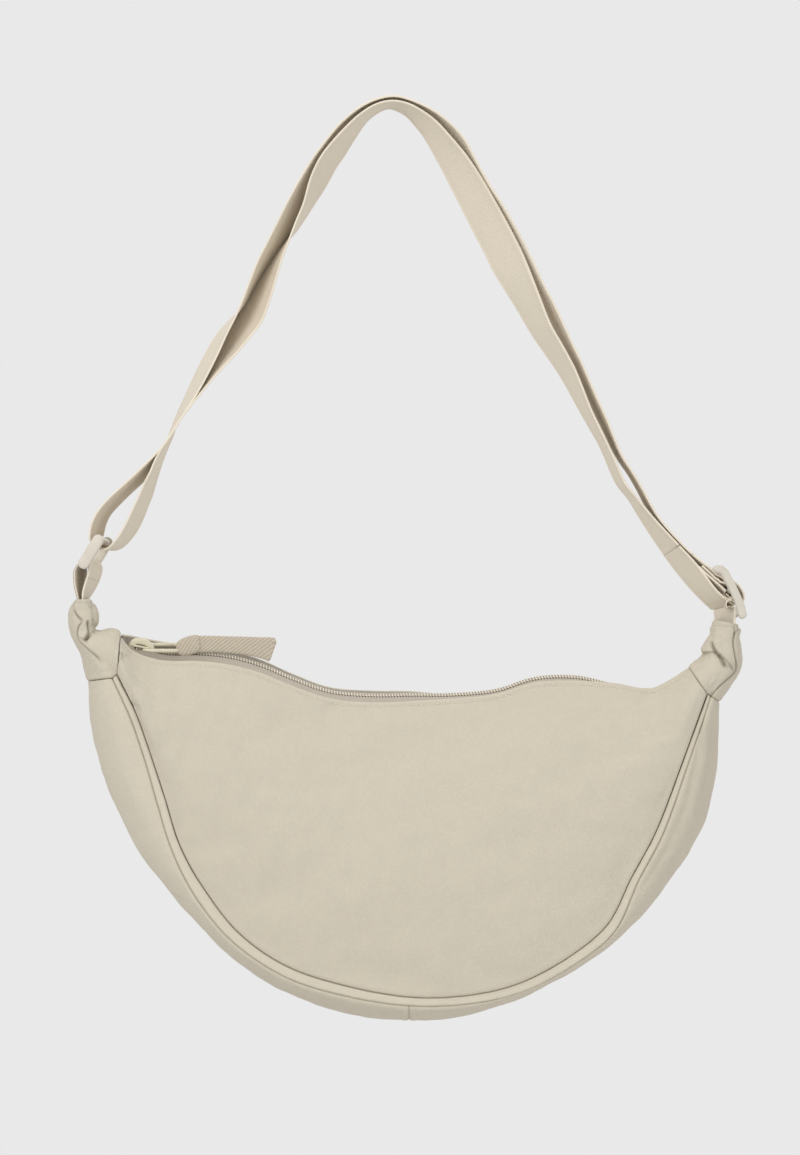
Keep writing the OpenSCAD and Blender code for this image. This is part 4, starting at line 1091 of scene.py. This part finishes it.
def build_strap():
    half = THIN / 2
    web_piece("strap", [band(OUTER, half), band(TURN[1:-1]), band(INNER, -half)], "strap", ["strap_webbing"], 1.6, 3)

    front = band(INNER_END, -half)
    step = np.gradient(front[0], axis=0)
    front[0][:, 1] = np.cumsum((step * front[1]).sum(1) / -front[1][:, 1])
    front[0][:, 1] -= front[0][0, 1]
    p, w, _ = (a[-2:] for a in front)
    d = unit(p[1] - p[0])
    wide = unit(w[1] - d * (w[1] @ d))
    t = np.cross(wide, d)
    end, r = p[1] - t * half, 1.05
    g = np.linspace(0.25, np.pi, 9)[:, None]
    turn = end + r * (d * np.sin(g) + t * (1 - np.cos(g)))
    turn = np.concatenate([turn, turn[-1] - d * np.array([[2.5], [5.0], [8.0]])])
    back = (turn, np.tile(wide, (len(turn), 1)), np.zeros(len(turn)))
    o = web_piece("strap_inner_end", [front, back], None, ["strap_slack"], 0.7)
    ride_blend(o)

    fold = frame_path(SLIDE_F, np.concatenate([
        [[-9.8, 21.8], [-7.8, 15.7], [-5.4, 9.6], [-3.2, 3.6]], bend(MID_BAR, SEWN_R, 195, 410, 24),
        [[-1.0, 6.2], [-3.8, 10.8], [-7.2, 20.9]]]))
    web_piece("strap_fold", [fold], "adjuster", ["strap_sewn_end"], 0.7)

    first = band(OUTER_END, -half)
    over = frame_path(SLIDE_F, [
        [1.6, 7.4], [5.0, 3.8], [7.2, -0.6], [7.4, -5.0], [6.2, -8.0], [3.6, -8.6], [1.0, -7.2], [-1.4, -6.2],
        [-3.0, -6.9]])
    low = band(TAIL_LOW)
    o = web_piece("strap_outer_end", [first, over], None, ["strap_tail"])
    ride_blend(o)
    o = web_piece("strap_tail_low", [[a[-2:] for a in over], low], None)
    ride_blend(o)

    bar = frame_path(RING_F, bend([0, -RING_PITCH], BAR_R, 35, 205, 24))
    right, left = band(LOOP_RIGHT[::-1], -half), band(LOOP_LEFT, -half)
    rings = ribbon(*resample([right, bar, left], 0.9))
    tone = edge_shade(len(rings)).reshape(len(rings), -1)
    # painted shade on the inner face of the loop's left leg
    tone[len(rings) * 6 // 10:, 13:] *= 0.5
    centre = rings.mean(1)
    z_mid = px((0, 580))[1]
    high = centre[:, 2] > z_mid
    i0, i1 = np.argmax(high), len(high) - np.argmax(high[::-1]) - 1
    top = sweep("tab_loop_top", rings[i0:i1 + 1], tone[i0:i1 + 1].ravel())
    legs = join("tab_loop_legs", [sweep("leg", rings[:i0 + 1], tone[:i0 + 1].ravel()),
                                  sweep("leg", rings[i1:], tone[i1:].ravel())])
    finish_piece(top, WEBBING, None, ["tab_loop"])
    finish_piece(legs, WEBBING, None)
    ride_blend(top)
    ride_blend(legs)


# ---------------------------------------------------------------- hardware
def rounded(o, width, segments):
    b = o.modifiers.new("bevel", "BEVEL")
    b.width, b.segments, b.limit_method = width * MM, segments, "ANGLE"
    b.angle_limit = math.radians(40)
    return o


def rail(line, h, y0, y1):
    """A rail of rounded outline along a run of places in the frame's own plane."""
    line = dense(line, 24)
    d, n = across(line)
    pts = [line + n * h / 2]
    for end, way, sign in ((line[-1], d[-1], 1), (line[0], -d[0], -1)):
        beside = np.array([-way[1], way[0]])
        g = np.linspace(0, np.pi, 14)[1:-1, None]
        pts.append(end + h / 2 * (beside * np.cos(g) + way * np.sin(g)))
        if sign > 0:
            pts.append((line - n * h / 2)[::-1])
    pts = np.concatenate(pts)
    sides, ends = prism(len(pts))
    return np.array([(x, y, z) for y in (y0, y1) for x, z in pts]), ends + sides


def rod(x, z, d, y0, y1, k=32):
    g = circle(k)
    verts = np.concatenate([np.stack([x + d / 2 * np.cos(g), 0 * g + y, z + d / 2 * np.sin(g)], 1)
                            for y in (y0, y1)])
    sides, ends = prism(k)
    return verts, sides + ends


def placed(name, f, verts, faces):
    """A solid drawn in a frame, with its faces looking outwards."""
    o = mesh_object(name, f[0] + verts[:, :1] * f[1] + verts[:, 1:2] * f[2] + verts[:, 2:] * f[3], faces)
    bm = bmesh.new()
    bm.from_mesh(o.data)
    bmesh.ops.recalc_face_normals(bm, faces=bm.faces)
    bm.to_mesh(o.data)
    bm.free()
    return o


def hardware(name, f, line, h, bars, node, body):
    inner = WEB_W / 2 + RAIL_PLAY
    parts = [placed(name, f, *rail(line, h, *sorted((side * inner, side * (inner + RAIL_T)))))
             for side in (-1, 1)]
    parts += [placed(name, f, *rod(x, z, d, -inner - RAIL_T / 2, inner + RAIL_T / 2)) for x, z, d in bars]
    finish_piece(rounded(join(name, parts), 1.3, 4), PLASTIC, body, [node])


def tube(name, path, r, k=20):
    """A closed round wire along a ring of places."""
    n = len(path)
    d = unit(np.roll(path, -1, 0) - np.roll(path, 1, 0))
    out = unit(path - path.mean(0))
    out = unit(out - d * (out * d).sum(1, keepdims=True))
    verts = circles(path, out, np.cross(d, out), r, k)
    i, j = np.meshgrid(np.arange(n), np.arange(k), indexing="ij")
    a, b = (i + 1) % n, (j + 1) % k
    faces = np.stack([i * k + j, i * k + b, a * k + b, a * k + j], -1).reshape(-1, 4)
    return mesh_object(name, verts.reshape(-1, 3), faces)


BOX_FACES = [(0, 1, 2, 3), (7, 6, 5, 4), (0, 4, 5, 1), (1, 5, 6, 2), (2, 6, 7, 3), (3, 7, 4, 0)]
ADJUSTER_LINE = [(-1.8, 15.9), (1.1, 12.5), (1.2, 7.0), (1.0, 0.6), (0.3, -6.5), (-0.7, -12.0), (-2.3, -17.2)]


def build_hardware():
    hardware("ring", RING_F, [(0, -RING_PITCH - 0.2), (0, -12), (0, -6), (0, 0.2)], RAIL_H_RING,
             ((0, 0, BAR_D), (0, -RING_PITCH, BAR_D)), "strap_ring", "ring")
    hardware("adjuster", SLIDE_F, ADJUSTER_LINE, RAIL_H,
             ((*TOP_BAR, 4.4), (*MID_BAR, MID_BAR_D), (*LOW_BAR, 4.4)), "slide_adjuster", "adjuster")
    stops = []
    for share, back in ((0.076, 0.004), (0.970, -0.004)):
        c, ahead = coil_pt(share)[0], coil_pt(share - back)[0]
        f = frame_at(c, (0, 1, 0), np.cross(ahead - c, (0, 1, 0)) * np.sign(back))
        for y in (-1.25, 1.25):
            box = np.array([(x, y + dy, z) for z in (-0.2, 1.9) for x, dy in
                            ((-1.3, -1.0), (1.3, -1.0), (1.3, 1.0), (-1.3, 1.0))])
            stops.append(placed("stop", f, box, BOX_FACES))
    finish_piece(rounded(join("stops", stops), 0.3, 2), STOP, "bag", ["zip_stops"])
    build_slider()


def build_slider():
    """The slider: two plates with flanges, a neck between them and the bridge that holds the pull's wire."""
    f = SLIDER_F
    outline = [(-6.0, 0), (-5.2, 3.4), (-2.0, 4.6), (4.0, 4.3), (6.2, 3.6), (6.6, 0)]
    ring = np.array(outline + [(x, -y) for x, y in outline[-2:0:-1]])
    ring = dense(closed(ring), 41)[:-1]
    sides, ends = prism(len(ring))
    parts = []
    for levels in ((-2.9, -1.7), (1.7, 2.9)):
        verts = np.concatenate([np.column_stack([ring, np.full(len(ring), z)]) for z in levels])
        parts.append(placed("plate", f, verts, ends + sides))
    for side in (-1, 1):
        verts = np.array([(x, side * y, z) for z in (-2.6, -0.9) for x, y in
                          ((-3.0, 3.6), (4.6, 3.3), (4.6, 4.2), (-3.0, 4.5))])
        parts.append(placed("flange", f, verts, BOX_FACES))
    neck = np.array([(x, y, z) for z in (-2.0, 2.0)
                     for x, y in ((-5.4, -0.9), (-2.6, -0.5), (-2.6, 0.5), (-5.4, 0.9))])
    parts.append(placed("neck", f, neck, BOX_FACES))
    arch = dense(px([(131.5, 650.5), (131.8, 645.4), (135.2, 641.6), (141.0, 641.4), (147.0, 643.4),
                     (151.0, 647.2), (151.8, 655.0)]), 40)
    n = across(arch)[1]
    g = circle(20)
    wide, thick = 2.4, 2.05
    cx, cy = squared(np.cos(g), 0.5) * thick, squared(np.sin(g), 0.5) * wide
    rings = np.stack([arch[:, :1] + n[:, :1] * cx, 0 * arch[:, :1] + cy, arch[:, 1:] + n[:, 1:] * cx], -1)
    parts.append(sweep("bridge", rings))
    finish_piece(rounded(join("slider", parts), 0.35, 2), PAINT, "slider", ["zip_slider"])

    near, far = px((143.8, 647.9)), px((179.0, 647.9))
    y, drop, c = (WIRE_W - WIRE_D) / 2, 1.9, 2.4
    corners = []
    for x, a0 in ((far[0] - c, 0), (near[0] + c, 90), (near[0] + c, 180), (far[0] - c, 270)):
        yc = (y - c) * (1 if a0 in (0, 90) else -1)
        for a in np.radians(np.linspace(a0, a0 + 90, 10)):
            corners.append((x + c * math.cos(a), yc + c * math.sin(a)))
    run = closed(np.array(corners))
    length = run_of(run)
    flat = sample(np.linspace(0, length[-1], 121)[:-1], length, run)
    path = np.stack([flat[:, 0], flat[:, 1], near[1] + drop * flat[:, 1] / y], 1)
    finish_piece(tube("pull_wire", path, WIRE_D / 2), PAINT, "wire", ["pull_ring"])


# The pull, in the photograph's pixels: its upper edge and its lower edge
PULL = np.array([
    [190.0, 640.0, 189.0, 653.0], [198.0, 636.2, 198.5, 652.8], [207.0, 635.7, 207.0, 652.3],
    [220.0, 636.0, 219.5, 652.6], [235.0, 636.4, 233.0, 653.6], [250.0, 636.8, 246.5, 655.2],
    [262.0, 637.2, 257.5, 657.6], [271.0, 637.3, 265.5, 660.0], [275.0, 638.4, 268.5, 661.4],
    [276.6, 642.5, 270.6, 659.5]])
WRAP = np.array([
    [176.0, 646.5, 176.0, 649.5], [176.2, 643.6, 177.8, 653.6], [179.0, 640.6, 181.0, 656.2],
    [184.0, 637.8, 185.0, 656.8], [190.0, 635.8, 190.5, 655.6], [196.0, 635.0, 196.0, 653.6],
    [199.0, 636.0, 199.6, 651.8], [199.8, 640.0, 200.0, 648.0]])


def flat_piece(name, table, n, depth, thick, wear):
    """A flat piece of webbing facing the front, from its upper and lower edges."""
    rows = dense(table, n)
    a, b = px(rows[:, :2]), px(rows[:, 2:])
    mid, half = (a + b) / 2, (a - b) / 2
    g = circle(44)
    cx, cy = squared(np.cos(g), 0.45), squared(np.sin(g), 0.7)
    rings = np.stack([mid[:, :1] + half[:, :1] * cx, depth[:, None] - thick[:, None] / 2 * cy,
                      mid[:, 1:] + half[:, 1:] * cx], -1)
    return sweep(name, wear(rings), 1 + 0.05 * np.tile(np.abs(np.cos(g)) ** 6, n))


def build_pull():
    """The pull: webbing folded round the wire's far bar and sewn, its end facing the front."""
    n = 130
    u = np.linspace(0, 1, n)
    depth = np.full(n, -(COIL_W + LIE + PULL_T / 2))

    def ribs(rings):
        run = rings[:, :, 0] + 0.55 * np.abs(((rings[:, :, 2] / 2.4) % 2) - 1) * 2.4
        return rings + np.array([0, -0.15, 0]) * np.sin(2 * np.pi * run / 1.6)[..., None]

    tab = flat_piece("tab", PULL, n, depth, PULL_T * np.sqrt(np.clip(1 - ((u - 0.5) / 0.5) ** 12, 0.05, 1)), ribs)

    def coils(rings):
        run = rings[:, :, 0] - 0.35 * (rings[:, :, 2] + 347)
        out = unit(rings - rings.mean(1, keepdims=True))
        return rings + out * (0.14 * np.sin(2 * np.pi * run / 1.35))[..., None]

    full = np.sqrt(np.clip(1 - ((u - 0.5) / 0.52) ** 4, 0.05, 1))
    wrap = flat_piece("wrap", WRAP, n, depth * lerp(0.35, 1, u), 7.0 * full * lerp(1.15, 0.8, u), coils)
    finish_piece(join("pull_webbing", [tab, wrap]), PULL_CLOTH, "pull", ["pull_tab"])


# ---------------------------------------------------------------- all together
camera()
studio()
build_shell()
build_tabs()
build_zip()
build_strap()
build_hardware()
build_pull()
